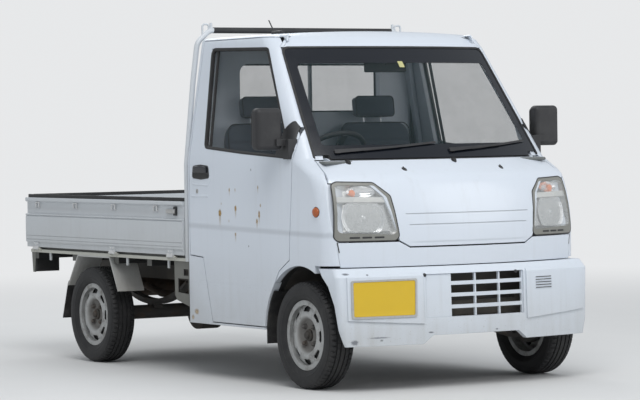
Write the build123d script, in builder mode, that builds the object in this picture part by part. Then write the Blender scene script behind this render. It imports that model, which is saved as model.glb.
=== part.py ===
"""Kei truck with a two-seat cab over the front axle and a drop-side bed.

Millimetres. +X points forward, +Y to the truck's left, +Z up. The origin lies on the ground, half-way along the
truck's length and on its centre plane. Tables give X as a distance ahead of the front axle, which ahead() turns
into the part's own X.
"""

from build123d import *
import os
from math import atan2, cos, pi, radians, sin, sqrt

os.makedirs("parts", exist_ok=True)

# Driving dimensions
LENGTH = 3395.0
WIDTH = 1475.0
WHEELBASE = 2200.0
FRONT_OVERHANG = 440.0
TRACK = 1304.0
HALF = WIDTH / 2
FRONT_AXLE = LENGTH / 2 - FRONT_OVERHANG
REAR_AXLE = FRONT_AXLE - WHEELBASE
REAR_END = -LENGTH / 2
SEAT_GAP = 0.3      # between pieces that rest on one another along a curve
SHUT_GAP = 5.0      # round a door, a lid or a gate


def ahead(x):
    """Turns a distance ahead of the front axle into the part's X."""
    return FRONT_AXLE + x


# Wheels
TYRE_RADIUS = 260.0
TYRE_WIDTH = 145.0
BEAD_RADIUS = 152.0
FLANGE_RADIUS = 169.5
RIM_WIDTH = 108.0
RIM_WALL = 6.0
SPINDLE_RADIUS = 27.0
VENT_COUNT = 12
VENT_CIRCLE = 126.0
WHEEL_Y = TRACK / 2

# Cab
SILL_Z = 272.0
BELT_Z = 1100.0
ROOF_Z = 1741.0
DOOR_TOP_Z = 1712.0
SCREEN_TOP_Z = 1658.0
CAB_REAR = -1100.0
REAR_CORNER = 40.0
DOOR_DEPTH = 45.0
POCKET_DEPTH = DOOR_DEPTH + SHUT_GAP
SIDE_DEPTH = 75.0
FRONT_DEPTH = 45.0
BACK_DEPTH = 45.0
ROOF_DEPTH = 32.0
LID_DEPTH = 14.0
LID_EDGE_DEPTH = 6.0         # the bonnet is thinner along its rear edge, to swing up clear of the wipers
LID_EDGE_Z = 1060.0
LID_EDGE_HALF = 580.0
ROOF_CROWN = 25.0
TUCK = 7.0          # how far the flank draws in at the sill, below its crease
CREASE_Z = 760.0
FAR = 2000.0        # beyond the truck on every side
GLASS_INSET = 4.0
GLASS_THICK = 6.0
DOOR_GLASS_INSET = 15.0
ARCH_RADIUS = 335.0
ARCH_INNER_Y = 425.0
CAB_SECTIONS = (
    # height, nose ahead of the axle, bow radius, half width, corner radius
    (SILL_Z, 392.0, 1832.0, HALF, 105.0),
    (760.0, 400.0, 1840.0, HALF, 105.0),
    (850.0, 389.6, 1829.6, HALF, 105.0),
    (920.0, 371.7, 1811.7, HALF, 105.0),
    (980.0, 348.7, 1788.7, HALF, 105.0),
    (1012.0, 330.6, 1770.6, HALF, 105.0),
    (1035.0, 302.5, 1742.5, HALF, 105.0),
    (BELT_Z, 185.0, 1625.0, HALF, 105.0),
    (SCREEN_TOP_Z, -264.0, 1808.0, 649.5, 85.0),
    (1700.0, -310.0, 1815.0, 642.8, 84.0),
    (1716.0, -340.0, 1820.0, 635.0, 80.0),
    (1730.0, -385.0, 1826.0, 612.0, 70.0),
    (1760.0, -480.0, 1850.0, 550.0, 60.0),
)
CAB_TOP_Z = CAB_SECTIONS[-1][0]
SCREEN_LOW_HALF = 664.0      # half width of the windscreen at the belt
SCREEN_TAPER = 0.128         # and how it narrows with height
PILLAR_WIDTH = 45.0
SCREEN_LAP = 12.0             # how far the door frame reaches in behind the windscreen edge
SCREEN_EDGE = (33.0, BELT_Z), (-401.0, DOOR_TOP_Z)   # the windscreen's side edge, seen from the side
COWL_TOP_Z = 1140.0
COWL_INSET = 10.0


def screen_half(z):
    """Half width of the windscreen at a height."""
    return SCREEN_LOW_HALF - SCREEN_TAPER * (z - BELT_Z)


# Outlines seen from the side, as (distance ahead of the front axle, height)
DOOR_REAR = -1058.0
DOOR_OUTLINE = (
    (-846.0, 287.0), (-262.0, 287.0), (-262.0, 466.0), (-190.0, 566.0), (-93.0, 621.0), (-62.0, 951.0),
    (-48.0, 1148.0), (-78.0, 1262.0), (-108.0, 1297.0), (-403.0, 1707.0), (-1043.0, 1707.0),
    (-1052.0, 1300.0), (DOOR_REAR, 620.0), (-928.0, 612.0),
)
DOOR_CORNER = 60.0            # radius of the door's upper corners
FLANGE_WIDTH = 38.0           # how far the body's flange reaches in behind the door's edge
WINDOW_CORNER = 28.0
# Where the door's leading edge swings in past the flange, the door is thin: it ends this far from the centre plane
SWING_OUTLINE = ((-126.0, 1105.0), (0.0, 1105.0), (0.0, 1262.0), (-126.0, 1262.0))
SWING_Y = 679.0
WINDOW_OUTLINE = ((-912.0, 1165.0), (-541.0, 1138.0), (-66.0, 1112.0), (-412.0, 1655.0), (-957.0, 1668.0))
FENDER_FRONT = ((33.0, BELT_Z), (200.0, 992.0), (262.0, 727.0), (269.0, 600.0), (143.0, 600.0))
BUMPER_TOP_Z = 590.0
# Outlines seen from the front, as (distance from the centre plane, height)
LAMP_OUTLINE = ((391.0, 714.0), (398.0, 740.0), (455.0, 925.0), (520.0, 990.0), (760.0, 990.0), (760.0, 714.0))
HINGE_PIN_X = 30.0            # the bonnet's hinge pins, under the windscreen's lower corners
HINGE_PIN_Z = 1104.0
BONNET_EAR_Y = 596.0
BONNET_EAR_WIDTH = 8.0
BONNET_HALF_OUTLINE = (
    (0.0, 684.0), (337.0, 684.0), (391.0, 714.0), (455.0, 925.0), (520.0, 990.0), (692.0, 990.0),
    (SCREEN_LOW_HALF, BELT_Z), (0.0, BELT_Z),
)
BONNET_EAR = (
    (HINGE_PIN_X - 9.0, HINGE_PIN_Z - 7.0), (60.0, 1095.0), (78.0, 1092.5), (80.0, 1096.5), (60.0, 1106.0),
    (HINGE_PIN_X + 9.0, HINGE_PIN_Z + 7.0), (HINGE_PIN_X - 9.0, HINGE_PIN_Z + 7.0),
)
REAR_WINDOW = (430.0, 1341.0, 1594.0, 50.0)   # half width, sill, head, corner radius

# Cab interior
CABIN_HALF = HALF - SIDE_DEPTH
FLOOR_Z = 440.0
FLOOR_THICK = 12.0
FOOTWELL_FRONT = 290.0
TOE_TOP_Z = 560.0
HEEL_X = -345.0
SEAT_DECK_Z = 655.0
SILL_BOX = 60.0

# Front bumper
BUMPER_WALL = 30.0
BUMPER_SECTIONS = (
    # height, nose ahead of the axle, bow radius, half width, corner radius
    (221.0, 436.0, 2897.0, 708.0, 30.0),
    (300.0, FRONT_OVERHANG, 2897.0, 724.0, 30.0),
    (548.0, 432.0, 2897.0, HALF, 30.0),
    (BUMPER_TOP_Z - 2.0, 404.0, 2600.0, 729.0, 34.0),
)
PANEL_RISE = 7.0              # the bumper's raised panels, left and right of the grille
PANEL_OUTLINE = ((302.0, 318.0), (690.0, 345.0), (690.0, 550.0), (302.0, 560.0))
BUMPER_REAR = ((140.0, 610.0), (200.0, 557.0), (258.0, 505.0), (304.0, 415.0), (345.0, 215.0))
GRILLE_HALF = 286.0
GRILLE_LOW_Z = 345.0
GRILLE_HIGH_Z = 552.0
GRILLE_ROWS = 4
GRILLE_COLUMNS = 4
GRILLE_BAR = 18.0
GRILLE_POST = 8.0
LIP_RISE = 40.0

# Bed
BED_FRONT = -1137.0
BED_REAR = -2955.0
DECK_Z = 636.0
DECK_THICK = 20.0
DECK_HALF = 703.0
FRAME_TOP_Z = 545.0
FRAME_DEPTH = 100.0
RAIL_Y = 325.0
RAIL_WIDTH = 50.0
SIDE_SILL_HALF = 719.0
GATE_TOP_Z = 890.0
GATE_BOTTOM_Z = 612.0
GATE_THICK = 28.0
HINGE_Z = 603.0
HINGE_Y = 731.5
HINGE_RADIUS = 6.0
HINGE_LENGTH = 60.0
HINGE_EAR = 10.0
PIN_RADIUS = 3.0
PIN_PLAY = 0.08
REAR_HINGES = (-500.0, 0.0, 500.0)
TAILGATE_HALF = 700.0
GATE_HINGES = (-2834.0, -1918.0, -1276.0)
GUARD_TOP_Z = 1783.0
GUARD_X = -1120.0
GUARD_TUBE = 14.0
GUARD_BEND = 70.0
ROPE_HOOK_Y = 560.0
ROPE_HOOK_RADIUS = 7.0
ROPE_HOOK_TOP_Z = 1807.0
ROPE_COLLAR_RADIUS = 10.0
ROPE_COLLAR_TOP_Z = 1785.0


def save(piece, label):
    """Labels a finished piece and writes it."""
    piece.part.label = label
    export_step(piece.part, f"parts/{label}.step")


def block(low, high, mode=Mode.ADD):
    """A box between two corners."""
    size = [h - l for l, h in zip(low, high)]
    with Locations(tuple((l + h) / 2 for l, h in zip(low, high))):
        Box(*size, mode=mode)


def side_slab(outline, y_low, y_high, radius=0.0, above=0.0):
    """A prism across the truck from an outline seen from the side. Its corners above a height may be rounded."""
    with BuildPart(mode=Mode.PRIVATE) as slab:
        with BuildSketch(Plane.XZ.offset(-y_high)) as face:
            with BuildLine():
                Polyline([(ahead(x), z) for x, z in outline], close=True)
            make_face()
            if radius:
                fillet(face.vertices().filter_by(lambda corner: corner.Z > above), radius=radius)
        extrude(amount=y_high - y_low)
    return slab.part


def front_slab(outline, x_low, x_high):
    """A prism along the truck from an outline seen from the front, between distances ahead of the front axle."""
    with BuildPart(mode=Mode.PRIVATE) as slab:
        with BuildSketch(Plane.YZ.offset(ahead(x_low))):
            with BuildLine():
                Polyline(outline, close=True)
            make_face()
        extrude(amount=x_high - x_low)
    return slab.part


def grown(outline, margin):
    """The outline moved outwards by a margin, with sharp corners."""
    with BuildSketch(mode=Mode.PRIVATE) as sketch:
        with BuildLine():
            Polyline(outline, close=True)
        make_face()
        offset(amount=margin, kind=Kind.INTERSECTION, mode=Mode.REPLACE)
    wire = sketch.sketch.faces()[0].outer_wire()
    return [(p.X, p.Y) for p in (edge @ 0 for edge in wire.order_edges())]


def mirrored(outline):
    """A half outline that starts and ends on the centre plane, closed by its mirror image."""
    inner = [(-y, z) for y, z in reversed(outline) if y > 0]
    return list(outline) + inner


def plan_outline(nose, bow, half, corner, rear, rear_corner):
    """Plan of the cab at one height: a bowed front, round corners, straight sides and a straight back."""
    bow_x = nose - bow
    corner_y = half - corner
    corner_x = bow_x + sqrt((bow - corner) ** 2 - corner_y ** 2)
    turn = atan2(corner_y, corner_x - bow_x)
    middle = (turn + pi / 2) / 2
    start = (bow_x + bow * cos(turn), bow * sin(turn))
    between = (corner_x + corner * cos(middle), corner_y + corner * sin(middle))
    rear_mid = rear_corner * (1 - cos(pi / 4))
    right = [
        (start[0], -start[1]), (between[0], -between[1]), (corner_x, -half), (rear + rear_corner, -half),
        (rear + rear_mid, -half + rear_mid), (rear, -half + rear_corner),
    ]
    left = [(x, -y) for x, y in right]
    with BuildSketch(mode=Mode.PRIVATE) as plan:
        with BuildLine():
            ThreePointArc(left[0], (nose, 0.0), right[0])
            ThreePointArc(right[0], right[1], right[2])
            Line(right[2], right[3])
            ThreePointArc(right[3], right[4], right[5])
            Line(right[5], left[5])
            ThreePointArc(left[5], left[4], left[3])
            Line(left[3], left[2])
            ThreePointArc(left[2], left[1], left[0])
        make_face()
    return plan.sketch


def cab_solid(front, side, rear, roof):
    """The cab's outer form, drawn in by a depth at each face."""
    with BuildPart(mode=Mode.PRIVATE) as solid:
        for height, nose, bow, half, corner in CAB_SECTIONS:
            with BuildSketch(Plane.XY.offset(height)):
                add(plan_outline(
                    ahead(nose) - front, bow - front, half - side, max(corner - side, corner / 4),
                    ahead(CAB_REAR) + rear, max(REAR_CORNER - rear, REAR_CORNER / 8),
                ))
        loft(ruled=True)
        with BuildSketch(Plane.YZ.offset(ahead(CAB_REAR) - WIDTH)):
            with BuildLine():
                crown = ThreePointArc(
                    (-HALF, ROOF_Z - ROOF_CROWN - roof), (0.0, ROOF_Z - roof), (HALF, ROOF_Z - ROOF_CROWN - roof)
                )
                Polyline(crown @ 1, (HALF, 0.0), (-HALF, 0.0), crown @ 0)
            make_face()
        extrude(amount=2 * LENGTH, mode=Mode.INTERSECT)
    return solid.part


with BuildPart() as cab_outer:
    add(cab_solid(0.0, 0.0, 0.0, 0.0))
    for side in (-1, 1):
        with BuildSketch(Plane.YZ.offset(ahead(CAB_REAR) - FRONT_DEPTH)):
            with BuildLine():
                Polyline(
                    (side * (HALF - TUCK), SILL_Z - 1), (side * HALF, CREASE_Z), (side * (HALF + TUCK), CREASE_Z),
                    (side * (HALF + TUCK), SILL_Z - 1), close=True,
                )
            make_face()
        extrude(amount=FAR, mode=Mode.SUBTRACT)

cab_glass_outer = cab_solid(GLASS_INSET, GLASS_INSET, GLASS_INSET, GLASS_INSET)
glass_depth = GLASS_INSET + GLASS_THICK
cab_glass_inner = cab_solid(glass_depth, glass_depth, glass_depth, glass_depth)
cab_pocket = cab_solid(POCKET_DEPTH, POCKET_DEPTH, POCKET_DEPTH, POCKET_DEPTH)
cab_door_inner = cab_solid(DOOR_DEPTH, DOOR_DEPTH, DOOR_DEPTH, DOOR_DEPTH)
cab_lid_inner = cab_solid(LID_DEPTH, LID_DEPTH, LID_DEPTH, LID_DEPTH)
cabin = cab_solid(FRONT_DEPTH, SIDE_DEPTH, BACK_DEPTH, ROOF_DEPTH)
door_glass_outer = cab_solid(FRONT_DEPTH, DOOR_GLASS_INSET, BACK_DEPTH, ROOF_DEPTH)
door_glass_inner = cab_solid(FRONT_DEPTH, DOOR_GLASS_INSET + GLASS_THICK, BACK_DEPTH, ROOF_DEPTH)


def arch_cutter(radius, y_low, y_high):
    """A cylinder across the truck round the front axle."""
    with BuildPart(mode=Mode.PRIVATE) as cutter:
        with BuildSketch(Plane.XZ.offset(-y_high)):
            with Locations((FRONT_AXLE, TYRE_RADIUS)):
                Circle(radius)
        extrude(amount=y_high - y_low)
    return cutter.part


# Region between the windscreen's edge and the outside, seen from the front
side_region_right = [
    (-screen_half(z) + PILLAR_WIDTH, z) for z in (BELT_Z, CAB_TOP_Z)
]
SIDE_SPLIT = SCREEN_LOW_HALF - PILLAR_WIDTH
side_cut = [(-SIDE_SPLIT, 0.0), side_region_right[0], side_region_right[1], (-FAR, CAB_TOP_Z), (-FAR, 0.0)]
side_outline = (
    (CAB_REAR - 1, SILL_Z - 1), (FENDER_FRONT[4][0], SILL_Z - 1), FENDER_FRONT[4], FENDER_FRONT[3],
    FENDER_FRONT[2], FENDER_FRONT[1], (FENDER_FRONT[0][0] + 60.0, BELT_Z), (-345.0, DOOR_TOP_Z),
    (CAB_REAR - 1, DOOR_TOP_Z),
)
screen_outline = [
    (-screen_half(BELT_Z), BELT_Z), (-screen_half(SCREEN_TOP_Z), SCREEN_TOP_Z),
    (screen_half(SCREEN_TOP_Z), SCREEN_TOP_Z), (screen_half(BELT_Z), BELT_Z),
]
screen_slab = front_slab(screen_outline, -500.0, 300.0)
door_pocket = side_slab(
    grown(DOOR_OUTLINE, SHUT_GAP), -FAR, -SIDE_SPLIT / 2, DOOR_CORNER + SHUT_GAP, SCREEN_TOP_Z
)
door_through = side_slab(
    grown(DOOR_OUTLINE, -FLANGE_WIDTH), -FAR, -SIDE_SPLIT / 2, DOOR_CORNER - FLANGE_WIDTH, BELT_Z + 500.0
)
window_slab = side_slab(WINDOW_OUTLINE, -FAR, -SIDE_SPLIT / 2, WINDOW_CORNER)

with BuildPart() as pocket_layer:
    add(cab_outer.part)
    add(cab_pocket, mode=Mode.SUBTRACT)
    add(door_pocket, mode=Mode.INTERSECT)

with BuildPart() as screen_layer:
    add(cab_outer.part)
    add(cab_glass_inner, mode=Mode.SUBTRACT)
    add(screen_slab, mode=Mode.INTERSECT)

with BuildPart() as side_shell:
    add(cab_outer.part)
    add(cabin, mode=Mode.SUBTRACT)
    add(front_slab(side_cut, CAB_REAR - 10.0, 500.0), mode=Mode.INTERSECT)
    add(side_slab(side_outline, -FAR, 0.0), mode=Mode.INTERSECT)
    add(front_slab(grown(mirrored(BONNET_HALF_OUTLINE), SHUT_GAP / 2), 0.0, 500.0), mode=Mode.SUBTRACT)
    add(pocket_layer.part, mode=Mode.SUBTRACT)
    add(screen_layer.part, mode=Mode.SUBTRACT)
    add(door_through, mode=Mode.SUBTRACT)
    add(arch_cutter(ARCH_RADIUS, -FAR, -ARCH_INNER_Y), mode=Mode.SUBTRACT)

# The door frame wraps round the top of the pillar, so the thin edge left outside it is dropped
with BuildPart() as cab_side_right:
    add(side_shell.part.solids().sort_by(SortBy.VOLUME)[-1])
    for z_low, y_low, y_high in ((HINGE_PIN_Z, BONNET_EAR_Y - 2.0, SIDE_SPLIT + 20.0),):
        with BuildSketch(Plane.XZ.offset(y_low)):
            with Locations((ahead(HINGE_PIN_X), z_low)):
                Circle(PIN_RADIUS)
        extrude(amount=y_high - y_low)

with BuildPart() as cab_side_left:
    mirror(cab_side_right.part, about=Plane.XZ)

door_cut = [
    (-screen_half(BELT_Z) + SCREEN_LAP, 0.0), (-screen_half(BELT_Z) + SCREEN_LAP, BELT_Z),
    (-screen_half(CAB_TOP_Z) + SCREEN_LAP, CAB_TOP_Z), (-FAR, CAB_TOP_Z), (-FAR, 0.0),
]

with BuildPart() as screen_clearance:
    add(cab_outer.part)
    add(cab_solid(*4 * (glass_depth + SHUT_GAP,)), mode=Mode.SUBTRACT)
    add(front_slab(grown(screen_outline, SHUT_GAP), -500.0, 300.0), mode=Mode.INTERSECT)

with BuildPart() as door_right:
    add(cab_outer.part)
    add(cab_door_inner, mode=Mode.SUBTRACT)
    add(screen_clearance.part, mode=Mode.SUBTRACT)
    add(side_slab(DOOR_OUTLINE, -FAR, -SIDE_SPLIT / 2, DOOR_CORNER, SCREEN_TOP_Z), mode=Mode.INTERSECT)
    add(front_slab(door_cut, CAB_REAR - 10.0, 500.0), mode=Mode.INTERSECT)
    add(window_slab, mode=Mode.SUBTRACT)
    add(side_slab(SWING_OUTLINE, -SWING_Y, -SIDE_SPLIT / 2), mode=Mode.SUBTRACT)
    add(arch_cutter(ARCH_RADIUS, -FAR, -ARCH_INNER_Y), mode=Mode.SUBTRACT)


# Door glass fills the window
with BuildPart() as door_glass_right:
    add(door_glass_outer)
    add(door_glass_inner, mode=Mode.SUBTRACT)
    add(
        side_slab(grown(WINDOW_OUTLINE, -SEAT_GAP), -FAR, -SIDE_SPLIT / 2, WINDOW_CORNER - SEAT_GAP),
        mode=Mode.INTERSECT,
    )
    add(front_slab(door_cut, CAB_REAR - 10.0, 500.0), mode=Mode.INTERSECT)

# Windscreen and the black cowl strip under it
with BuildPart() as windscreen:
    add(cab_glass_outer)
    add(cab_glass_inner, mode=Mode.SUBTRACT)
    add(front_slab([
        (-screen_half(COWL_TOP_Z) + SEAT_GAP, COWL_TOP_Z), (-screen_half(SCREEN_TOP_Z) + SEAT_GAP, SCREEN_TOP_Z),
        (screen_half(SCREEN_TOP_Z) - SEAT_GAP, SCREEN_TOP_Z), (screen_half(COWL_TOP_Z) - SEAT_GAP, COWL_TOP_Z),
    ], -500.0, 300.0), mode=Mode.INTERSECT)

with BuildPart() as cowl:
    add(cab_glass_inner)
    add(cabin, mode=Mode.SUBTRACT)
    add(front_slab([
        (-SIDE_SPLIT, BELT_Z), (-screen_half(COWL_TOP_Z) + PILLAR_WIDTH, COWL_TOP_Z),
        (screen_half(COWL_TOP_Z) - PILLAR_WIDTH, COWL_TOP_Z), (SIDE_SPLIT, BELT_Z),
    ], -500.0, 300.0), mode=Mode.INTERSECT)
    for side in (-1, 1):
        ear_y = sorted((side * (BONNET_EAR_Y - SHUT_GAP), side * FAR))
        block((ahead(-FAR), ear_y[0], BELT_Z - 1.0), (ahead(FAR), ear_y[1], HINGE_PIN_Z + 16.0), mode=Mode.SUBTRACT)

# Bonnet, front apron and headlamps
with BuildPart() as lid_edge:
    add(cab_solid(LID_EDGE_DEPTH, LID_EDGE_DEPTH, LID_EDGE_DEPTH, LID_EDGE_DEPTH))
    block(
        (ahead(-FAR), -LID_EDGE_HALF, LID_EDGE_Z), (ahead(FAR), LID_EDGE_HALF, BELT_Z), mode=Mode.INTERSECT,
    )

with BuildPart() as bonnet:
    add(cab_outer.part)
    add(cab_lid_inner, mode=Mode.SUBTRACT)
    add(lid_edge.part, mode=Mode.SUBTRACT)
    add(front_slab(grown(mirrored(BONNET_HALF_OUTLINE), -SHUT_GAP / 2), -200.0, 500.0), mode=Mode.INTERSECT)
    for side in (-1, 1):
        add(side_slab(BONNET_EAR, *sorted((side * BONNET_EAR_Y, side * (BONNET_EAR_Y + BONNET_EAR_WIDTH)))))
        with BuildSketch(Plane.XZ.offset(-FAR)):
            with Locations((ahead(HINGE_PIN_X), HINGE_PIN_Z)):
                Circle(PIN_RADIUS + PIN_PLAY)
        extrude(amount=2 * FAR, mode=Mode.SUBTRACT)

apron_half = (
    (0.0, BUMPER_TOP_Z), (HALF + 10, BUMPER_TOP_Z), (HALF + 10, 712.0), (391.0, 712.0), (337.0, 682.0), (0.0, 682.0),
)
apron_side = ((269.9, BUMPER_TOP_Z), (263.3, 712.0), (500.0, 712.0), (500.0, BUMPER_TOP_Z))
with BuildPart() as front_apron:
    add(cab_outer.part)
    add(cab_lid_inner, mode=Mode.SUBTRACT)
    add(front_slab(grown(mirrored(apron_half), -SHUT_GAP / 2), 0.0, 500.0), mode=Mode.INTERSECT)
    add(side_slab(apron_side, -FAR, FAR), mode=Mode.INTERSECT)

lamp_side = ((267.0, 714.0), (203.5, 990.0), (500.0, 990.0), (500.0, 714.0))
with BuildPart() as headlamp_right:
    add(cab_outer.part)
    add(cabin, mode=Mode.SUBTRACT)
    add(front_slab(grown([(-y, z) for y, z in LAMP_OUTLINE], -SHUT_GAP / 2), 0.0, 500.0), mode=Mode.INTERSECT)
    add(side_slab(lamp_side, -FAR, FAR), mode=Mode.INTERSECT)

with BuildPart() as headlamps:
    add(headlamp_right.part)
    mirror(headlamp_right.part, about=Plane.XZ)

# Cab back, roof and rear window
window_half, window_sill, window_head, window_corner = REAR_WINDOW


def rear_opening(shrink):
    """The rear window's rounded opening, drawn in by a gap."""
    with BuildPart(mode=Mode.PRIVATE) as opening:
        with BuildSketch(Plane.YZ.offset(ahead(CAB_REAR) - BACK_DEPTH)):
            with Locations((0.0, (window_sill + window_head) / 2)):
                RectangleRounded(
                    2 * (window_half - shrink), window_head - window_sill - 2 * shrink, window_corner - shrink
                )
        extrude(amount=3 * BACK_DEPTH)
    return opening.part


with BuildPart() as cab_back:
    add(cab_outer.part)
    add(cabin, mode=Mode.SUBTRACT)
    add(front_slab([
        (-SIDE_SPLIT, SEAT_DECK_Z - FLOOR_THICK), (-screen_half(BELT_Z) + PILLAR_WIDTH, BELT_Z),
        (-screen_half(DOOR_TOP_Z) + PILLAR_WIDTH, DOOR_TOP_Z), (screen_half(DOOR_TOP_Z) - PILLAR_WIDTH, DOOR_TOP_Z),
        (screen_half(BELT_Z) - PILLAR_WIDTH, BELT_Z), (SIDE_SPLIT, SEAT_DECK_Z - FLOOR_THICK),
    ], CAB_REAR - 10.0, CAB_REAR + 2 * BACK_DEPTH), mode=Mode.INTERSECT)
    add(rear_opening(0.0), mode=Mode.SUBTRACT)

with BuildPart() as rear_window:
    add(rear_opening(SEAT_GAP))
    block(
        (ahead(CAB_REAR) + GLASS_INSET, -HALF, window_sill), (ahead(CAB_REAR) + glass_depth, HALF, window_head),
        mode=Mode.INTERSECT,
    )


def screen_edge_x(z):
    """How far ahead of the front axle the windscreen's side edge lies at a height."""
    (low_x, low_z), (high_x, high_z) = SCREEN_EDGE
    return low_x + (high_x - low_x) * (z - low_z) / (high_z - low_z)


header = (
    (CAB_REAR - 1, DOOR_TOP_Z), (screen_edge_x(DOOR_TOP_Z) - SHUT_GAP, DOOR_TOP_Z),
    (screen_edge_x(SCREEN_TOP_Z) - SHUT_GAP, SCREEN_TOP_Z), (0.0, SCREEN_TOP_Z), (0.0, CAB_TOP_Z),
    (CAB_REAR - 1, CAB_TOP_Z),
)
with BuildPart() as cab_roof:
    add(cab_outer.part)
    add(cabin, mode=Mode.SUBTRACT)
    add(side_slab(header, -FAR, FAR), mode=Mode.INTERSECT)
    add(screen_layer.part, mode=Mode.SUBTRACT)
    add(cab_side_right.part, mode=Mode.SUBTRACT)
    add(cab_side_left.part, mode=Mode.SUBTRACT)

# Cab floor: footwell between the wheelhouses, heel board, seat platform over the engine and the wheelhouses
with BuildPart() as cab_floor:
    with BuildSketch(Plane.XZ.offset(-CABIN_HALF)):
        with BuildLine():
            path = Polyline(
                (ahead(FOOTWELL_FRONT), TOE_TOP_Z), (ahead(FOOTWELL_FRONT - 60.0), FLOOR_Z), (ahead(HEEL_X), FLOOR_Z),
                (ahead(HEEL_X - 20.0), SEAT_DECK_Z), (ahead(CAB_REAR + BACK_DEPTH), SEAT_DECK_Z),
            )
            offset(amount=FLOOR_THICK, side=Side.LEFT, closed=True)
        make_face()
    extrude(amount=2 * CABIN_HALF)
    for side in (-1, 1):
        add(arch_cutter(ARCH_RADIUS + FLOOR_THICK, *sorted((side * (ARCH_INNER_Y - FLOOR_THICK), side * CABIN_HALF))))
        block(
            (ahead(HEEL_X - SILL_BOX), side * CABIN_HALF - (side > 0) * SILL_BOX, SILL_Z),
            (ahead(HEEL_X), side * CABIN_HALF + (side < 0) * SILL_BOX, SEAT_DECK_Z - FLOOR_THICK),
        )
        block(
            (ahead(CAB_REAR + BACK_DEPTH), side * CABIN_HALF - (side > 0) * SILL_BOX, SILL_Z + 10.0),
            (ahead(HEEL_X), side * CABIN_HALF + (side < 0) * SILL_BOX, FLOOR_Z - FLOOR_THICK),
        )
    for side in (-1, 1):
        add(arch_cutter(ARCH_RADIUS, *sorted((side * ARCH_INNER_Y, side * FAR))), mode=Mode.SUBTRACT)
    block((ahead(-FAR), -FAR, -FAR), (ahead(FAR), FAR, SILL_Z), mode=Mode.SUBTRACT)
    add(cabin, mode=Mode.INTERSECT)


def side_block(low, high, side):
    """A box given by its distances ahead of the front axle, out from the centre plane and up, on one side."""
    (x0, y0, z0), (x1, y1, z1) = low, high
    ys = sorted((side * y0, side * y1))
    block((ahead(x0), ys[0], z0), (ahead(x1), ys[1], z1))


def cross_cylinder(x, z, radius, y_low, y_high, mode=Mode.ADD):
    """A round bar across the truck."""
    with BuildPart(mode=Mode.PRIVATE) as bar:
        with BuildSketch(Plane.XZ.offset(-y_high)):
            with Locations((ahead(x), z)):
                Circle(radius)
        extrude(amount=y_high - y_low)
    add(bar.part, mode=mode)


def upright(x, y, z_low, z_high, radius, mode=Mode.ADD):
    """A round upright bar."""
    with BuildPart(mode=Mode.PRIVATE) as bar:
        with BuildSketch(Plane.XY.offset(z_low)):
            with Locations((ahead(x), y)):
                Circle(radius)
        extrude(amount=z_high - z_low)
    add(bar.part, mode=mode)


def long_cylinder(x_low, x_high, y, z, radius, mode=Mode.ADD):
    """A round bar along the truck."""
    with BuildPart(mode=Mode.PRIVATE) as bar:
        with BuildSketch(Plane.YZ.offset(ahead(x_low))):
            with Locations((y, z)):
                Circle(radius)
        extrude(amount=x_high - x_low)
    add(bar.part, mode=mode)


# Front bumper with its grille
def bumper_solid(depth):
    """The bumper's outer form, drawn in by a depth."""
    with BuildPart(mode=Mode.PRIVATE) as solid:
        for height, nose, bow, half, corner in BUMPER_SECTIONS:
            with BuildSketch(Plane.XY.offset(height)):
                add(plan_outline(
                    ahead(nose) - depth, bow - depth, half - depth, max(corner - depth, corner / 4), ahead(100.0), 3.0
                ))
        loft(ruled=True)
    return solid.part


bumper_cut = BUMPER_REAR + ((0.0, 215.0), (0.0, 610.0))
lip_outline = (
    (-330.0, 200.0), (-250.0, BUMPER_SECTIONS[0][0] + LIP_RISE), (250.0, BUMPER_SECTIONS[0][0] + LIP_RISE),
    (330.0, 200.0),
)
with BuildPart() as bumper_hollow:
    add(bumper_solid(BUMPER_WALL))
    block((ahead(0.0), -FAR, 0.0), (ahead(FAR), FAR, BUMPER_TOP_Z - BUMPER_WALL), mode=Mode.INTERSECT)

with BuildPart() as raised_panels:
    add(bumper_solid(-PANEL_RISE))
    with BuildPart(mode=Mode.PRIVATE) as panel_prisms:
        add(front_slab(PANEL_OUTLINE, 200.0, FAR))
        add(front_slab([(-y, z) for y, z in PANEL_OUTLINE], 200.0, FAR))
    add(panel_prisms.part, mode=Mode.INTERSECT)

with BuildPart() as front_bumper:
    add(bumper_solid(0.0))
    add(raised_panels.part)
    add(bumper_hollow.part, mode=Mode.SUBTRACT)
    add(side_slab(bumper_cut, -FAR, FAR), mode=Mode.SUBTRACT)
    add(front_slab(lip_outline, 0.0, FAR), mode=Mode.SUBTRACT)
    block(
        (ahead(0.0), -GRILLE_HALF, GRILLE_LOW_Z), (ahead(FAR), GRILLE_HALF, GRILLE_HIGH_Z), mode=Mode.SUBTRACT,
    )

with BuildPart() as grille:
    add(bumper_solid(8.0))
    add(bumper_solid(8.0 + 14.0), mode=Mode.SUBTRACT)
    block(
        (ahead(0.0), -GRILLE_HALF, GRILLE_LOW_Z), (ahead(FAR), GRILLE_HALF, GRILLE_HIGH_Z), mode=Mode.INTERSECT,
    )
    grille_pitch = 2 * GRILLE_HALF / GRILLE_COLUMNS
    grille_rise = (GRILLE_HIGH_Z - GRILLE_LOW_Z + GRILLE_BAR) / GRILLE_ROWS
    for column in range(1, GRILLE_COLUMNS):
        for row in range(GRILLE_ROWS):
            slot_y = -GRILLE_HALF + column * grille_pitch
            slot_z = GRILLE_LOW_Z + row * grille_rise
            block(
                (ahead(0.0), slot_y, slot_z),
                (ahead(FAR), slot_y + grille_pitch - GRILLE_POST, slot_z + grille_rise - GRILLE_BAR),
                mode=Mode.SUBTRACT,
            )

# Radiator behind the grille
with BuildPart() as radiator:
    block((ahead(235.0), -250.0, 300.0), (ahead(285.0), 250.0, 425.0))
    for side in (-1, 1):
        side_block((240.0, 250.0, 335.0), (280.0, RAIL_Y - RAIL_WIDTH / 2, 425.0), side)

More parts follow.
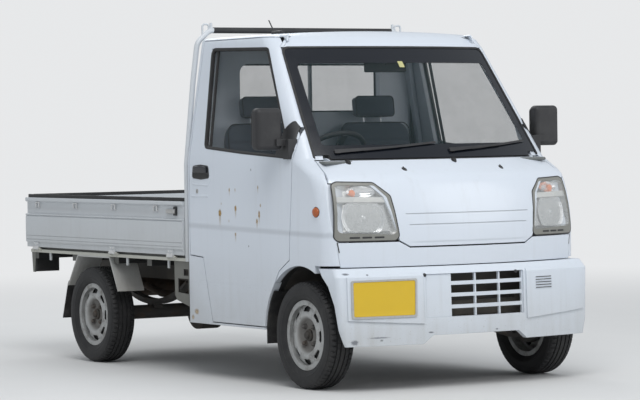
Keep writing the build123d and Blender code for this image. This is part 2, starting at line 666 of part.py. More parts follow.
# Chassis frame: two rails that step down under the cab, and their cross members
FRONT_RAIL_TOP = FLOOR_Z - FLOOR_THICK
rail_outline = (
    (BED_REAR + 30.0, FRAME_TOP_Z), (-1120.0, FRAME_TOP_Z), (-980.0, FRONT_RAIL_TOP), (330.0, FRONT_RAIL_TOP),
    (330.0, FRONT_RAIL_TOP - 90.0), (-1030.0, FRONT_RAIL_TOP - 90.0), (-1170.0, FRAME_TOP_Z - FRAME_DEPTH),
    (BED_REAR + 30.0, FRAME_TOP_Z - FRAME_DEPTH),
)
CROSS_MEMBERS = (
    # distance ahead of the front axle, bottom, top
    (-2890.0, 455.0, 535.0), (-2440.0, 465.0, 525.0), (-1930.0, 465.0, 525.0), (-1420.0, 465.0, 525.0),
    (0.0, 300.0, FRONT_RAIL_TOP - 90.0), (310.0, 345.0, 415.0),
)
with BuildPart() as chassis_frame:
    for side in (-1, 1):
        add(side_slab(rail_outline, *sorted((side * (RAIL_Y - RAIL_WIDTH / 2), side * (RAIL_Y + RAIL_WIDTH / 2)))))
    for x, low, high in CROSS_MEMBERS:
        block((ahead(x - 20.0), -RAIL_Y - RAIL_WIDTH / 2 + 1.0, low), (ahead(x + 20.0), RAIL_Y + RAIL_WIDTH / 2 - 1.0, high))

# Bed: bearers on the frame, the deck with its front board, and three drop sides
BEARERS = (-2890.0, -2420.0, -1930.0, -1560.0, -1180.0)
SILL_TOP_Z = DECK_Z - DECK_THICK
SILL_LOW_Z = 581.0
SILL_STEP_Z = 598.0
BRACKET_Y = 696.5
BRACKET_SHEET = 8.0
BRACKET_CORNER = 14.0
BRACKET_OUTLINE = (
    (-1131.0, SILL_STEP_Z - 4.0), (-1289.0, SILL_STEP_Z - 4.0), (-1284.0, 402.0), (-1262.0, 378.0), (-1131.0, 348.0),
)
BRACKET_HOLES = (
    ((-1140.0, 412.0), (-1250.0, 418.0), (-1250.0, 490.0), (-1140.0, 490.0)),
    ((-1140.0, 506.0), (-1190.0, 506.0), (-1190.0, 540.0), (-1140.0, 540.0)),
)
POST_OUTLINE = ((-2950.0, SILL_STEP_Z - 4.0), (-2896.0, SILL_STEP_Z - 4.0), (-2914.0, 467.0), (-2936.0, 467.0))
with BuildPart() as bed_subframe:
    for x in BEARERS:
        block((ahead(x - 25.0), -DECK_HALF, FRAME_TOP_Z), (ahead(x + 25.0), DECK_HALF, SILL_TOP_Z))
    for side in (-1, 1):
        side_block((BED_REAR + 25.0, DECK_HALF - 25.0, SILL_LOW_Z), (BED_FRONT + 3.0, SIDE_SILL_HALF, SILL_STEP_Z), side)
        side_block((BED_REAR + 35.0, DECK_HALF - 25.0, SILL_LOW_Z), (BED_FRONT + 3.0, DECK_HALF, SILL_TOP_Z), side)
        side_block((BED_REAR + 35.0, 560.0, 470.0), (BED_REAR + 60.0, 700.0, SILL_LOW_Z + 5.0), side)
        add(side_slab(BRACKET_OUTLINE, *sorted((side * BRACKET_Y, side * (BRACKET_Y + BRACKET_SHEET)))))
        for hole in BRACKET_HOLES:
            add(side_slab(hole, *sorted((side * (BRACKET_Y - 1.0), side * FAR)), BRACKET_CORNER), mode=Mode.SUBTRACT)
        add(side_slab(POST_OUTLINE, *sorted((side * BRACKET_Y, side * (BRACKET_Y + BRACKET_SHEET)))))
        for x in GATE_HINGES:
            for end in (-1, 1):
                low = x + end * HINGE_LENGTH / 2 + (1.5 if end > 0 else -1.5 - HINGE_EAR)
                side_block((low, SIDE_SILL_HALF - 5.0, HINGE_Z - 11.0), (low + HINGE_EAR, HINGE_Y, HINGE_Z), side)
                long_cylinder(low, low + HINGE_EAR, side * HINGE_Y, HINGE_Z, HINGE_RADIUS)
            long_cylinder(x - HINGE_LENGTH / 2 - 4.0, x + HINGE_LENGTH / 2 + 4.0, side * HINGE_Y, HINGE_Z, PIN_RADIUS)
    block((ahead(BED_REAR + 25.0), -SIDE_SILL_HALF, SILL_LOW_Z), (ahead(BED_REAR + 60.0), SIDE_SILL_HALF, SILL_STEP_Z))
    block((ahead(BED_REAR + 35.0), -DECK_HALF, SILL_LOW_Z), (ahead(BED_REAR + 60.0), DECK_HALF, SILL_TOP_Z))
    for y in REAR_HINGES:
        for end in (-1, 1):
            low = y + end * HINGE_LENGTH / 2 + (1.5 if end > 0 else -1.5 - HINGE_EAR)
            block(
                (ahead(BED_REAR + 6.0), low, HINGE_Z - 11.0), (ahead(BED_REAR + 30.0), low + HINGE_EAR, HINGE_Z)
            )
            cross_cylinder(BED_REAR + 6.0, HINGE_Z, HINGE_RADIUS, low, low + HINGE_EAR)
        cross_cylinder(
            BED_REAR + 6.0, HINGE_Z, PIN_RADIUS, y - HINGE_LENGTH / 2 - 4.0, y + HINGE_LENGTH / 2 + 4.0
        )

with BuildPart() as bed_deck:
    block((ahead(BED_REAR + 35.0), -DECK_HALF, SILL_TOP_Z), (ahead(BED_FRONT - 3.0), DECK_HALF, DECK_Z))
    block((ahead(BED_FRONT - 23.0), -DECK_HALF, DECK_Z - 1.0), (ahead(BED_FRONT - 3.0), DECK_HALF, GATE_TOP_Z))

GATE_PROFILE = (
    # distance out from the gate's inner face, height
    (0.0, GATE_BOTTOM_Z), (20.0, GATE_BOTTOM_Z), (20.0, 636.0), (GATE_THICK, 644.0), (GATE_THICK + 0.5, 720.0),
    (GATE_THICK, 784.0), (16.0, 800.0), (16.0, 864.0), (GATE_THICK, 870.0), (GATE_THICK, GATE_TOP_Z), (0.0, GATE_TOP_Z),
)
GATE_INNER_Y = HALF - GATE_THICK - 0.5
LEAF_TOP_Z = 640.0

with BuildPart() as gate_right:
    with BuildSketch(Plane.YZ.offset(ahead(BED_REAR))):
        with BuildLine():
            Polyline([(-GATE_INNER_Y - d, z) for d, z in GATE_PROFILE], close=True)
        make_face()
    extrude(amount=BED_FRONT - 3.0 - BED_REAR)
    for x in GATE_HINGES:
        side_block((x - HINGE_LENGTH / 2, HINGE_Y - 3.0, HINGE_Z), (x + HINGE_LENGTH / 2, HINGE_Y + 5.5, LEAF_TOP_Z), -1)
        long_cylinder(x - HINGE_LENGTH / 2, x + HINGE_LENGTH / 2, -HINGE_Y, HINGE_Z, HINGE_RADIUS)
        long_cylinder(
            x - HINGE_LENGTH / 2, x + HINGE_LENGTH / 2, -HINGE_Y, HINGE_Z, PIN_RADIUS + PIN_PLAY, mode=Mode.SUBTRACT
        )

with BuildPart() as gate_left:
    mirror(gate_right.part, about=Plane.XZ)

with BuildPart() as tailgate:
    with BuildSketch(Plane.XZ.offset(-TAILGATE_HALF)):
        with BuildLine():
            Polyline([(ahead(BED_REAR + GATE_THICK + 0.5 - d), z) for d, z in GATE_PROFILE], close=True)
        make_face()
    extrude(amount=2 * TAILGATE_HALF)
    for y in REAR_HINGES:
        block(
            (ahead(BED_REAR + 0.5), y - HINGE_LENGTH / 2, HINGE_Z), (ahead(BED_REAR + 9.0), y + HINGE_LENGTH / 2, LEAF_TOP_Z)
        )
        cross_cylinder(BED_REAR + 6.0, HINGE_Z, HINGE_RADIUS - 0.5, y - HINGE_LENGTH / 2, y + HINGE_LENGTH / 2)
        cross_cylinder(
            BED_REAR + 6.0, HINGE_Z, PIN_RADIUS + PIN_PLAY, y - HINGE_LENGTH / 2, y + HINGE_LENGTH / 2,
            mode=Mode.SUBTRACT,
        )

# Guard frame behind the cab
GUARD_PATH = (
    # distance out from the centre plane, height
    (716.0, SILL_LOW_Z), (716.0, 1080.0), (671.0, 1507.0), (643.0, 1705.0), (570.0, GUARD_TOP_Z - GUARD_TUBE),
)
with BuildPart() as guard_frame:
    with BuildLine(Plane.YZ.offset(ahead(GUARD_X))):
        FilletPolyline(
            *[(-y, z) for y, z in GUARD_PATH], *[(y, z) for y, z in reversed(GUARD_PATH)],
            radius=GUARD_BEND,
        )
    with BuildSketch(Plane(origin=(ahead(GUARD_X), -GUARD_PATH[0][0], SILL_LOW_Z), z_dir=(0, 0, 1))):
        Circle(GUARD_TUBE)
    sweep()
    for side in (-1, 1):
        upright(GUARD_X, side * ROPE_HOOK_Y, GUARD_TOP_Z - GUARD_TUBE, ROPE_HOOK_TOP_Z, ROPE_HOOK_RADIUS)
        upright(GUARD_X, side * ROPE_HOOK_Y, GUARD_TOP_Z - GUARD_TUBE, ROPE_COLLAR_TOP_Z, ROPE_COLLAR_RADIUS)

# Mudguards and mud flaps
GUARD_LINE = ((-2471.0, 412.0), (-2354.0, 577.0), (-1983.0, 577.0), (-1890.0, 400.0))
GUARD_SHEET = 8.0


def strip(points, thickness, y_low, y_high):
    """A folded strip of sheet across the truck, its line seen from the side."""
    with BuildPart(mode=Mode.PRIVATE) as sheet:
        with BuildSketch(Plane.XZ.offset(-y_high)):
            with BuildLine():
                line = Polyline([(ahead(x), z) for x, z in points])
                offset(line, amount=thickness / 2, side=Side.BOTH)
            make_face()
        extrude(amount=y_high - y_low)
    return sheet.part


with BuildPart() as mudguards:
    for side in (-1, 1):
        add(strip(GUARD_LINE, GUARD_SHEET, *sorted((side * 560.0, side * SIDE_SILL_HALF))))

REAR_FLAP = ((-2465.0, 432.3), (-2476.6, 415.9), (-2545.0, 227.0))
with BuildPart() as mud_flaps:
    for side in (-1, 1):
        add(strip(REAR_FLAP, 5.0, *sorted((side * 585.0, side * SIDE_SILL_HALF))))
        with BuildPart(mode=Mode.PRIVATE) as front_flap:
            add(arch_cutter(ARCH_RADIUS - 6.0, *sorted((side * 592.0, side * 724.0))))
            add(arch_cutter(ARCH_RADIUS - 0.3, *sorted((side * 592.0, side * 655.0))))
            add(arch_cutter(ARCH_RADIUS - 12.0, *sorted((side * 590.0, side * 726.0))), mode=Mode.SUBTRACT)
            block((ahead(-FAR), -FAR, 285.0), (ahead(-258.0), FAR, 470.0), mode=Mode.INTERSECT)
        add(front_flap.part)
        side_block((-329.0, 592.0, 204.0), (-322.0, 724.0, 290.0), side)

# Rear axle on its leaf springs
SPRING_EYE_X = 400.0
SPRING_EYE_Z = 430.0
with BuildPart() as rear_axle:
    cross_cylinder(-WHEELBASE, TYRE_RADIUS, 38.0, -WHEEL_Y + 20.0, WHEEL_Y - 20.0)
    cross_cylinder(-WHEELBASE, TYRE_RADIUS, SPINDLE_RADIUS, -WHEEL_Y - 12.0, WHEEL_Y + 12.0)
    cross_cylinder(-WHEELBASE, TYRE_RADIUS, 112.0, -60.0, 60.0)
    for side in (-1, 1):
        cross_cylinder(-WHEELBASE, TYRE_RADIUS, 105.0, *sorted((side * (WHEEL_Y - 60.0), side * (WHEEL_Y - 14.0))))
        with BuildPart(mode=Mode.PRIVATE) as spring:
            with BuildSketch(Plane.XZ.offset(-side * RAIL_Y - 25.0)):
                with BuildLine():
                    lower = ThreePointArc(
                        (REAR_AXLE - SPRING_EYE_X, SPRING_EYE_Z), (REAR_AXLE, TYRE_RADIUS + 40.0),
                        (REAR_AXLE + SPRING_EYE_X, SPRING_EYE_Z),
                    )
                    Line(lower @ 1, (REAR_AXLE + SPRING_EYE_X, SPRING_EYE_Z + 15.0))
                    upper = ThreePointArc(
                        (REAR_AXLE + SPRING_EYE_X, SPRING_EYE_Z + 15.0), (REAR_AXLE, TYRE_RADIUS + 70.0),
                        (REAR_AXLE - SPRING_EYE_X, SPRING_EYE_Z + 15.0),
                    )
                    Line(upper @ 1, lower @ 0)
                make_face()
            extrude(amount=50.0)
        add(spring.part)
        side_block(
            (-WHEELBASE - 40.0, RAIL_Y - 25.0, TYRE_RADIUS + 20.0), (-WHEELBASE + 40.0, RAIL_Y + 25.0, TYRE_RADIUS + 55.0),
            side,
        )

# Engine, gearbox and propeller shaft
with BuildPart() as drivetrain:
    block((ahead(-900.0), -230.0, 250.0), (ahead(-450.0), 230.0, 600.0))
    block((ahead(-1330.0), -110.0, 290.0), (ahead(-899.0), 110.0, 440.0))
    long_cylinder(-WHEELBASE + 112.0 - 6.0, -1329.0, 0.0, TYRE_RADIUS + 45.0, 30.0)
    for side in (-1, 1):
        side_block((-720.0, 229.0, 360.0), (-640.0, RAIL_Y - RAIL_WIDTH / 2, 400.0), side)
    cross_cylinder(-WHEELBASE, TYRE_RADIUS, 112.0 + SEAT_GAP, -62.0, 62.0, mode=Mode.SUBTRACT)

# Fuel tank on the left rail, silencer and pipe on the right
with BuildPart() as fuel_tank:
    block((ahead(-1820.0), RAIL_Y + RAIL_WIDTH / 2, 310.0), (ahead(-1330.0), 620.0, 520.0))
    fillet(fuel_tank.edges().filter_by(Axis.X), radius=35.0)

with BuildPart() as exhaust:
    with BuildLine():
        FilletPolyline(
            (ahead(-900.0), -180.0, 330.0), (ahead(-1100.0), -180.0, 330.0), (ahead(-1250.0), -225.0, 350.0),
            (ahead(-2300.0), -225.0, 350.0), (ahead(-2480.0), -225.0, 390.0), (ahead(-2640.0), -225.0, 390.0),
            radius=60.0,
        )
    with BuildSketch(Plane(origin=(ahead(-900.0), -180.0, 330.0), z_dir=(-1, 0, 0))):
        Circle(20.0)
    sweep()
    cross_cylinder(-2680.0, 385.0, 68.0, -260.0, 260.0)
    block((ahead(-2700.0), -30.0, 440.0), (ahead(-2660.0), 30.0, 455.0))
    block((ahead(-2900.0), -30.0, 448.0), (ahead(-2660.0), 30.0, 455.0))

# Front suspension: lower arms, spring struts' upper ends
PIVOT_Y = 545.0
STRUT_RADIUS = 23.0
ARM_TOP_Z = 212.0
ARM_LOW_Z = 192.0
LOWER_ARM = (
    # distance out from the centre plane, height
    (250.0, 275.0), (250.0, 300.0), (320.0, 300.0), (PIVOT_Y - 32.0, ARM_TOP_Z), (PIVOT_Y + 12.0, ARM_TOP_Z),
    (PIVOT_Y + 12.0, ARM_LOW_Z), (PIVOT_Y - 40.0, ARM_LOW_Z),
)
with BuildPart() as front_suspension:
    for side in (-1, 1):
        add(front_slab([(side * y, z) for y, z in LOWER_ARM], -20.0, 20.0))
        with BuildPart(mode=Mode.PRIVATE) as coil:
            upright(0.0, side * PIVOT_Y, 540.0, 589.0, 52.0)
            upright(0.0, side * PIVOT_Y, 539.0, 592.2, STRUT_RADIUS + 0.8, mode=Mode.SUBTRACT)
        add(coil.part)
        upright(0.0, side * PIVOT_Y, 588.0, 592.0, 40.0)

# Steered knuckles
with BuildPart() as knuckle_right:
    upright(0.0, -PIVOT_Y, ARM_TOP_Z + SEAT_GAP, 585.0, STRUT_RADIUS)
    cross_cylinder(0.0, TYRE_RADIUS, SPINDLE_RADIUS, -WHEEL_Y - 12.0, -PIVOT_Y)
    cross_cylinder(0.0, TYRE_RADIUS, 100.0, -WHEEL_Y + 12.0, -WHEEL_Y + 50.0)
    side_block((-110.0, PIVOT_Y - 22.0, 232.0), (0.0, PIVOT_Y - 2.0, 250.0), -1)

with BuildPart() as knuckle_left:
    mirror(knuckle_right.part, about=Plane.XZ)

# Wheels. Profiles are (radius, distance out from the wheel's middle)
DISC_LINE = ((148.5, 6.0), (135.0, 6.0), (120.0, 24.0), (104.0, 30.0), (90.0, 27.0), (76.0, 6.0), (60.0, 2.0), (SPINDLE_RADIUS + 4.0, 2.0))
TYRE_HALF_PROFILE = (
    (BEAD_RADIUS + SEAT_GAP, 47.7), (170.5, 47.7), (174.0, 58.0), (195.0, 69.0), (216.0, TYRE_WIDTH / 2), (240.0, 70.0),
    (254.0, 63.0), (TYRE_RADIUS, 50.0),
)


def wheel_plane(x, side):
    """Plane through a wheel's axle: local x is the radius, local y points out of the truck."""
    return Plane(origin=(ahead(x), side * WHEEL_Y, TYRE_RADIUS), x_dir=(1, 0, 0), z_dir=(0, 0, side))


def wheel_rim(x, side):
    """A pressed steel wheel: rim, dished disc and a ring of vents."""
    half = RIM_WIDTH / 2
    with BuildPart(mode=Mode.PRIVATE) as rim:
        with BuildSketch(wheel_plane(x, side)):
            with BuildLine():
                Polyline(
                    (BEAD_RADIUS - RIM_WALL, -half), (BEAD_RADIUS - RIM_WALL, half), (FLANGE_RADIUS, half),
                    (FLANGE_RADIUS, half - RIM_WALL), (BEAD_RADIUS, half - RIM_WALL), (BEAD_RADIUS, -half + RIM_WALL),
                    (FLANGE_RADIUS, -half + RIM_WALL), (FLANGE_RADIUS, -half), close=True,
                )
            make_face()
            with BuildLine():
                disc = Polyline(DISC_LINE)
                offset(disc, amount=RIM_WALL / 2, side=Side.BOTH)
            make_face()
        revolve(axis=Axis((ahead(x), side * WHEEL_Y, TYRE_RADIUS), (0, 1, 0)))
        vents = Plane(origin=(ahead(x), side * WHEEL_Y, TYRE_RADIUS), x_dir=(1, 0, 0), z_dir=(0, side, 0))
        with BuildSketch(vents):
            with PolarLocations(VENT_CIRCLE, VENT_COUNT):
                SlotOverall(34.0, 15.0, rotation=90)
        extrude(amount=60.0, mode=Mode.SUBTRACT)
    return rim.part


def wheel_tyre(x, side):
    """A tyre seated on the rim between its flanges."""
    profile = list(TYRE_HALF_PROFILE) + [(r, -w) for r, w in reversed(TYRE_HALF_PROFILE)]
    with BuildPart(mode=Mode.PRIVATE) as tyre:
        with BuildSketch(wheel_plane(x, side)):
            with BuildLine():
                Polyline(profile, close=True)
            make_face()
        revolve(axis=Axis((ahead(x), side * WHEEL_Y, TYRE_RADIUS), (0, 1, 0)))
    return tyre.part


# Seats, facia and steering wheel
SEAT_Y = 345.0
with BuildPart() as seat_cushions:
    for side in (-1, 1):
        side_block((-880.0, SEAT_Y - 235.0, SEAT_DECK_Z + SEAT_GAP), (-400.0, SEAT_Y + 235.0, 790.0), side)
    fillet(seat_cushions.edges().filter_by(Axis.X), radius=30.0)

seat_back_outline = ((-885.0, 800.0), (-965.0, 1290.0), (-1030.0, 1290.0), (-985.0, 800.0))
head_outline = ((-952.0, 1310.0), (-965.0, 1420.0), (-1020.0, 1420.0), (-1025.0, 1310.0))
with BuildPart() as seat_backs:
    for side in (-1, 1):
        add(side_slab(seat_back_outline, *sorted((side * (SEAT_Y - 225.0), side * (SEAT_Y + 225.0)))))
        add(side_slab(head_outline, *sorted((side * (SEAT_Y - 125.0), side * (SEAT_Y + 125.0)))))
        side_block((-1000.0, SEAT_Y - 60.0, 1285.0), (-990.0, SEAT_Y - 48.0, 1312.0), side)
        side_block((-1000.0, SEAT_Y + 48.0, 1285.0), (-990.0, SEAT_Y + 60.0, 1312.0), side)
        side_block((-970.0, SEAT_Y - 200.0, SEAT_DECK_Z + SEAT_GAP), (-900.0, SEAT_Y + 200.0, 801.0), side)

facia_outline = (
    (160.0, 1090.0), (-60.0, 1088.0), (-130.0, 1050.0), (-140.0, 960.0), (-90.0, 830.0), (0.0, 780.0), (400.0, 780.0),
)
STEER_TILT = 38.0
WHEEL_CENTRE = (-335.0, -SEAT_Y, 1118.0)
steer_plane = Plane(
    origin=(ahead(WHEEL_CENTRE[0]), WHEEL_CENTRE[1], WHEEL_CENTRE[2]),
    x_dir=(0, 1, 0), z_dir=(-sin(radians(STEER_TILT)), 0, cos(radians(STEER_TILT))),
)
STEER_RADIUS = 182.0
STEER_GRIP = 13.0
HUB_RADIUS = 34.0
with BuildPart() as steering_wheel:
    with Locations(steer_plane):
        Torus(STEER_RADIUS, STEER_GRIP)
    with BuildSketch(steer_plane.offset(-50.0)):
        Circle(HUB_RADIUS)
    extrude(amount=42.0)
    with BuildSketch(steer_plane.offset(-18.0)):
        with PolarLocations(STEER_RADIUS / 2, 3, start_angle=-90):
            Rectangle(STEER_RADIUS, 30.0)
    extrude(amount=10.0)

with BuildPart() as facia:
    add(side_slab(facia_outline, -CABIN_HALF, CABIN_HALF))
    with BuildPart(mode=Mode.PRIVATE) as column:
        with BuildSketch(steer_plane.offset(-51.0)):
            Circle(30.0)
        extrude(amount=-320.0)
    add(column.part)
    add(cabin, mode=Mode.INTERSECT)

# Wipers, parked towards the left: posts on the cowl, arms and blades that follow the glass
WIPERS = (
    # pivot's distance to the left, its height, blade's low and high ends to the left, their heights
    (-550.0, 1142.0, -420.0, -20.0, 1146.0, 1180.0),
    (54.0, 1142.0, 190.0, 590.0, 1146.0, 1180.0),
)
BLADE_LAYER = (-2.0, -6.0)
ARM_LAYER = (-6.0, -10.0)


def glass_layer(low, high, outline):
    """What lies between two depths under the cab's outer form, inside an outline seen from the front."""
    with BuildPart(mode=Mode.PRIVATE) as layer:
        add(cab_solid(high, high, high, high))
        add(cab_solid(low, low, low, low), mode=Mode.SUBTRACT)
        add(front_slab(outline, -300.0, 400.0), mode=Mode.INTERSECT)
    return layer.part


with BuildPart() as wipers:
    for pivot_y, pivot_z, low_y, high_y, low_z, high_z in WIPERS:
        middle_y = (low_y + high_y) / 2
        middle_z = (low_z + high_z) / 2
        add(glass_layer(*BLADE_LAYER, (
            (low_y, low_z - 5.0), (high_y, high_z - 5.0), (high_y, high_z + 5.0), (low_y, low_z + 5.0),
        )))
        add(glass_layer(*ARM_LAYER, (
            (pivot_y - 12.0, pivot_z - 8.0), (middle_y, middle_z - 4.0), (middle_y, middle_z + 4.0),
            (pivot_y - 12.0, pivot_z + 10.0),
        )))
        add(glass_layer(glass_depth - SEAT_GAP, ARM_LAYER[1], (
            (pivot_y - 12.0, pivot_z - 8.0), (pivot_y + 12.0, pivot_z - 8.0), (pivot_y + 12.0, COWL_TOP_Z - 1.0),
            (pivot_y - 12.0, COWL_TOP_Z - 1.0),
        )))

# Door mirrors: low and high corners of each block, as distances ahead, out and up
MIRROR_HEAD = ((-165.0, 756.0, 1152.0), (-95.0, 900.0, 1356.0))
MIRROR_FOOT = ((-106.0, 700.0, 1108.0), (-56.0, 752.0, 1205.0))
MIRROR_ARM = ((-122.0, 740.0, 1172.0), (-84.0, 800.0, 1206.0))
MIRROR_ROUND = 24.0
with BuildPart() as mirror_right:
    side_block(MIRROR_HEAD[0], MIRROR_HEAD[1], -1)
    fillet(mirror_right.edges(), radius=MIRROR_ROUND)
    side_block(MIRROR_FOOT[0], MIRROR_FOOT[1], -1)
    side_block(MIRROR_ARM[0], MIRROR_ARM[1], -1)
    add(cab_outer.part, mode=Mode.SUBTRACT)

with BuildPart() as mirror_left:
    mirror(mirror_right.part, about=Plane.XZ)

with BuildPart() as tail_lamps:
    for side in (-1, 1):
        side_block((BED_REAR + 16.0, 565.0, 475.0), (BED_REAR + 35.0, 695.0, 565.0), side)

with BuildPart() as door_left:
    mirror(door_right.part, about=Plane.XZ)
with BuildPart() as door_glass_left:
    mirror(door_glass_right.part, about=Plane.XZ)

PIECES = {
    "cab_side_right": cab_side_right, "cab_side_left": cab_side_left, "cab_back": cab_back, "cab_roof": cab_roof,
    "cab_floor": cab_floor, "cowl": cowl, "bonnet": bonnet, "front_apron": front_apron, "headlamps": headlamps,
    "front_bumper": front_bumper, "grille": grille, "radiator": radiator, "windscreen": windscreen,
    "rear_window": rear_window, "door_right": door_right, "door_left": door_left,
    "door_glass_right": door_glass_right, "door_glass_left": door_glass_left, "mirror_right": mirror_right,
    "mirror_left": mirror_left, "wipers": wipers, "facia": facia, "steering_wheel": steering_wheel,
    "seat_cushions": seat_cushions, "seat_backs": seat_backs, "chassis_frame": chassis_frame,
    "drivetrain": drivetrain, "fuel_tank": fuel_tank, "exhaust": exhaust, "rear_axle": rear_axle,
    "front_suspension": front_suspension, "knuckle_right": knuckle_right, "knuckle_left": knuckle_left,
    "bed_subframe": bed_subframe, "bed_deck": bed_deck, "guard_frame": guard_frame, "gate_right": gate_right,
    "gate_left": gate_left, "tailgate": tailgate, "mudguards": mudguards, "mud_flaps": mud_flaps,
    "tail_lamps": tail_lamps,
}
for label, piece in PIECES.items():
    save(piece, label)

for end, x in (("front", 0.0), ("rear", -WHEELBASE)):
    for hand, side in (("right", -1), ("left", 1)):
        with BuildPart() as rim:
            add(wheel_rim(x, side))
        save(rim, f"rim_{end}_{hand}")
        with BuildPart() as tyre:
            add(wheel_tyre(x, side))
        save(tyre, f"tyre_{end}_{hand}")
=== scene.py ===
"""Dressed model of a white kei truck with a drop-side bed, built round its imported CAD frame.

Metres. +X points forward, +Y to the truck's left, +Z up, and the ground is at zero. Sizes in the tables are
millimetres, and a distance along the truck is counted forward from the front axle, as in the part's own source.
"""

from __future__ import annotations

import logging
import math
from dataclasses import dataclass
from enum import Enum
from typing import Callable, ClassVar, Sequence

import bmesh
import bpy
import numpy as np
from mathutils import Matrix, Vector

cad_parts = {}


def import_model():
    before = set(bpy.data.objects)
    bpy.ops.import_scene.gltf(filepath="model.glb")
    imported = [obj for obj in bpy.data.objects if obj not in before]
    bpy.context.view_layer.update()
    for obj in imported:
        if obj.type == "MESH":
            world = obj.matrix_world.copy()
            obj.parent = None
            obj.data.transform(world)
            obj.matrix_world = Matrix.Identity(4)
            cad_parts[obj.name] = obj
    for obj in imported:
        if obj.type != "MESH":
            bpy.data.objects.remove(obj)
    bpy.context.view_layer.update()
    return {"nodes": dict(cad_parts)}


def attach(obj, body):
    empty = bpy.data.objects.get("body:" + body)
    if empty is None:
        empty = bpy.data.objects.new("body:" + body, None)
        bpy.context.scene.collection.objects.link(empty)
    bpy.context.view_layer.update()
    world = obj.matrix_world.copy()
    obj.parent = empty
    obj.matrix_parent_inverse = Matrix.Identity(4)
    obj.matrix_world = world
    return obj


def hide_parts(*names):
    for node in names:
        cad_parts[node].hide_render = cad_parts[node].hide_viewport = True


LOG = logging.getLogger("kei_truck")
Color = tuple[float, float, float]
Point = Sequence[float]
Outline = Sequence[tuple[float, float]]

MM = 0.001
FRONT_AXLE = 1257.5
# Places that finishes read, in metres of the frame. A pair gives where a mask starts and where it is full
AXLES_MIDDLE = 0.1575
HALF_WHEELBASE = 1.1
HUB_HEIGHT = 0.260
HUB_DISH = (0.098, 0.074)
FLANK_OUT = (0.60, 0.66)
# Bounds across, in height and along of the painted shade inside the wheel arches
ARCH_INSIDE = (0.712, 0.700)
ARCH_BELOW = (0.70, 0.64)
ARCH_BEHIND = (1.46, 1.44)
# What is seen beyond the floor, and the rays that see it
PALE: Color = (0.80, 0.81, 0.82)
SEEN_RAYS = ("Is Camera Ray", "Is Glossy Ray", "Is Transmission Ray")
# Heights between which the cab's sill tucks in
TUCK_TOP = 760.0
TUCK_HEIGHT = 488.0
# Directions: one that no bar or axle of the truck has, and two of the frame's own
SKEW = (0.31, 0.52, 0.79)
UPWARDS = (0.0, 0.0, 1.0)
RIGHTWARDS = (0.0, -1.0, 0.0)
# How curves and plates are divided
ARC_POINTS = 7
ARC_SHARE = 0.49
LEAST_RADIUS = 1e-7
LONGEST_RUN = 200.0
FULL_ROUND = 0.999
SMALLEST_SHARE = 1e-4
FAN_SHARES = (0.75, 0.5, 0.25, 0.02)
# Smooth shading of the CAD nodes
WELD_DISTANCE = 0.00002
SHARP_FROM = 28


class Side(Enum):
    """One side of the truck, as the sign of its Y."""

    RIGHT = -1
    LEFT = 1

    @property
    def label(self) -> str:
        """The side's name as the CAD nodes spell it."""
        return self.name.lower()

    @property
    def outward(self) -> Point:
        """The direction in which this side faces."""
        return 0.0, self.value, 0.0

    @property
    def door(self) -> str:
        """The body that the door on this side moves with."""
        return f"door_{self.label}_body"

    @property
    def gate(self) -> str:
        """The body that the gate on this side moves with."""
        return f"gate_{self.label}_body"


class End(Enum):
    """One axle, as its distance from the front axle in millimetres."""

    FRONT = 0.0
    REAR = -2200.0


# Shaders


class Wire:
    """An output socket that adds Math nodes when it is used in an expression."""

    def __init__(self, graph: Graph, socket: bpy.types.NodeSocket) -> None:
        """Wraps one output socket of a graph."""
        self.graph = graph
        self.socket = socket

    def _math(self, operation: str, *values: Wire | float) -> Wire:
        """Adds one Math node on the given values."""
        return self.graph.node("ShaderNodeMath", {"operation": operation}, dict(enumerate(values)))

    def __add__(self, other: Wire | float) -> Wire:
        """Sum."""
        return self._math("ADD", self, other)

    __radd__ = __add__

    def __sub__(self, other: Wire | float) -> Wire:
        """Difference."""
        return self._math("SUBTRACT", self, other)

    def __rsub__(self, other: Wire | float) -> Wire:
        """Reflected difference."""
        return self._math("SUBTRACT", other, self)

    def __mul__(self, other: Wire | float) -> Wire:
        """Product."""
        return self._math("MULTIPLY", self, other)

    __rmul__ = __mul__

    def __truediv__(self, other: Wire | float) -> Wire:
        """Quotient."""
        return self._math("DIVIDE", self, other)

    def absolute(self) -> Wire:
        """Absolute value."""
        return self._math("ABSOLUTE", self)

    def sine(self) -> Wire:
        """Sine of the value in radians."""
        return self._math("SINE", self)

    def least(self, other: Wire | float) -> Wire:
        """The lesser of two values."""
        return self._math("MINIMUM", self, other)

    def most(self, other: Wire | float) -> Wire:
        """The greater of two values."""
        return self._math("MAXIMUM", self, other)

    def root(self) -> Wire:
        """Square root."""
        return self._math("SQRT", self)

    def step(self, low: float, high: float) -> Wire:
        """Rises smoothly from 0 at low to 1 at high, and falls where high is the lower one."""
        return self.graph.node(
            "ShaderNodeMapRange", {"interpolation_type": "SMOOTHSTEP"},
            {"Value": self, "From Min": low, "From Max": high, "To Min": 0.0, "To Max": 1.0},
        )


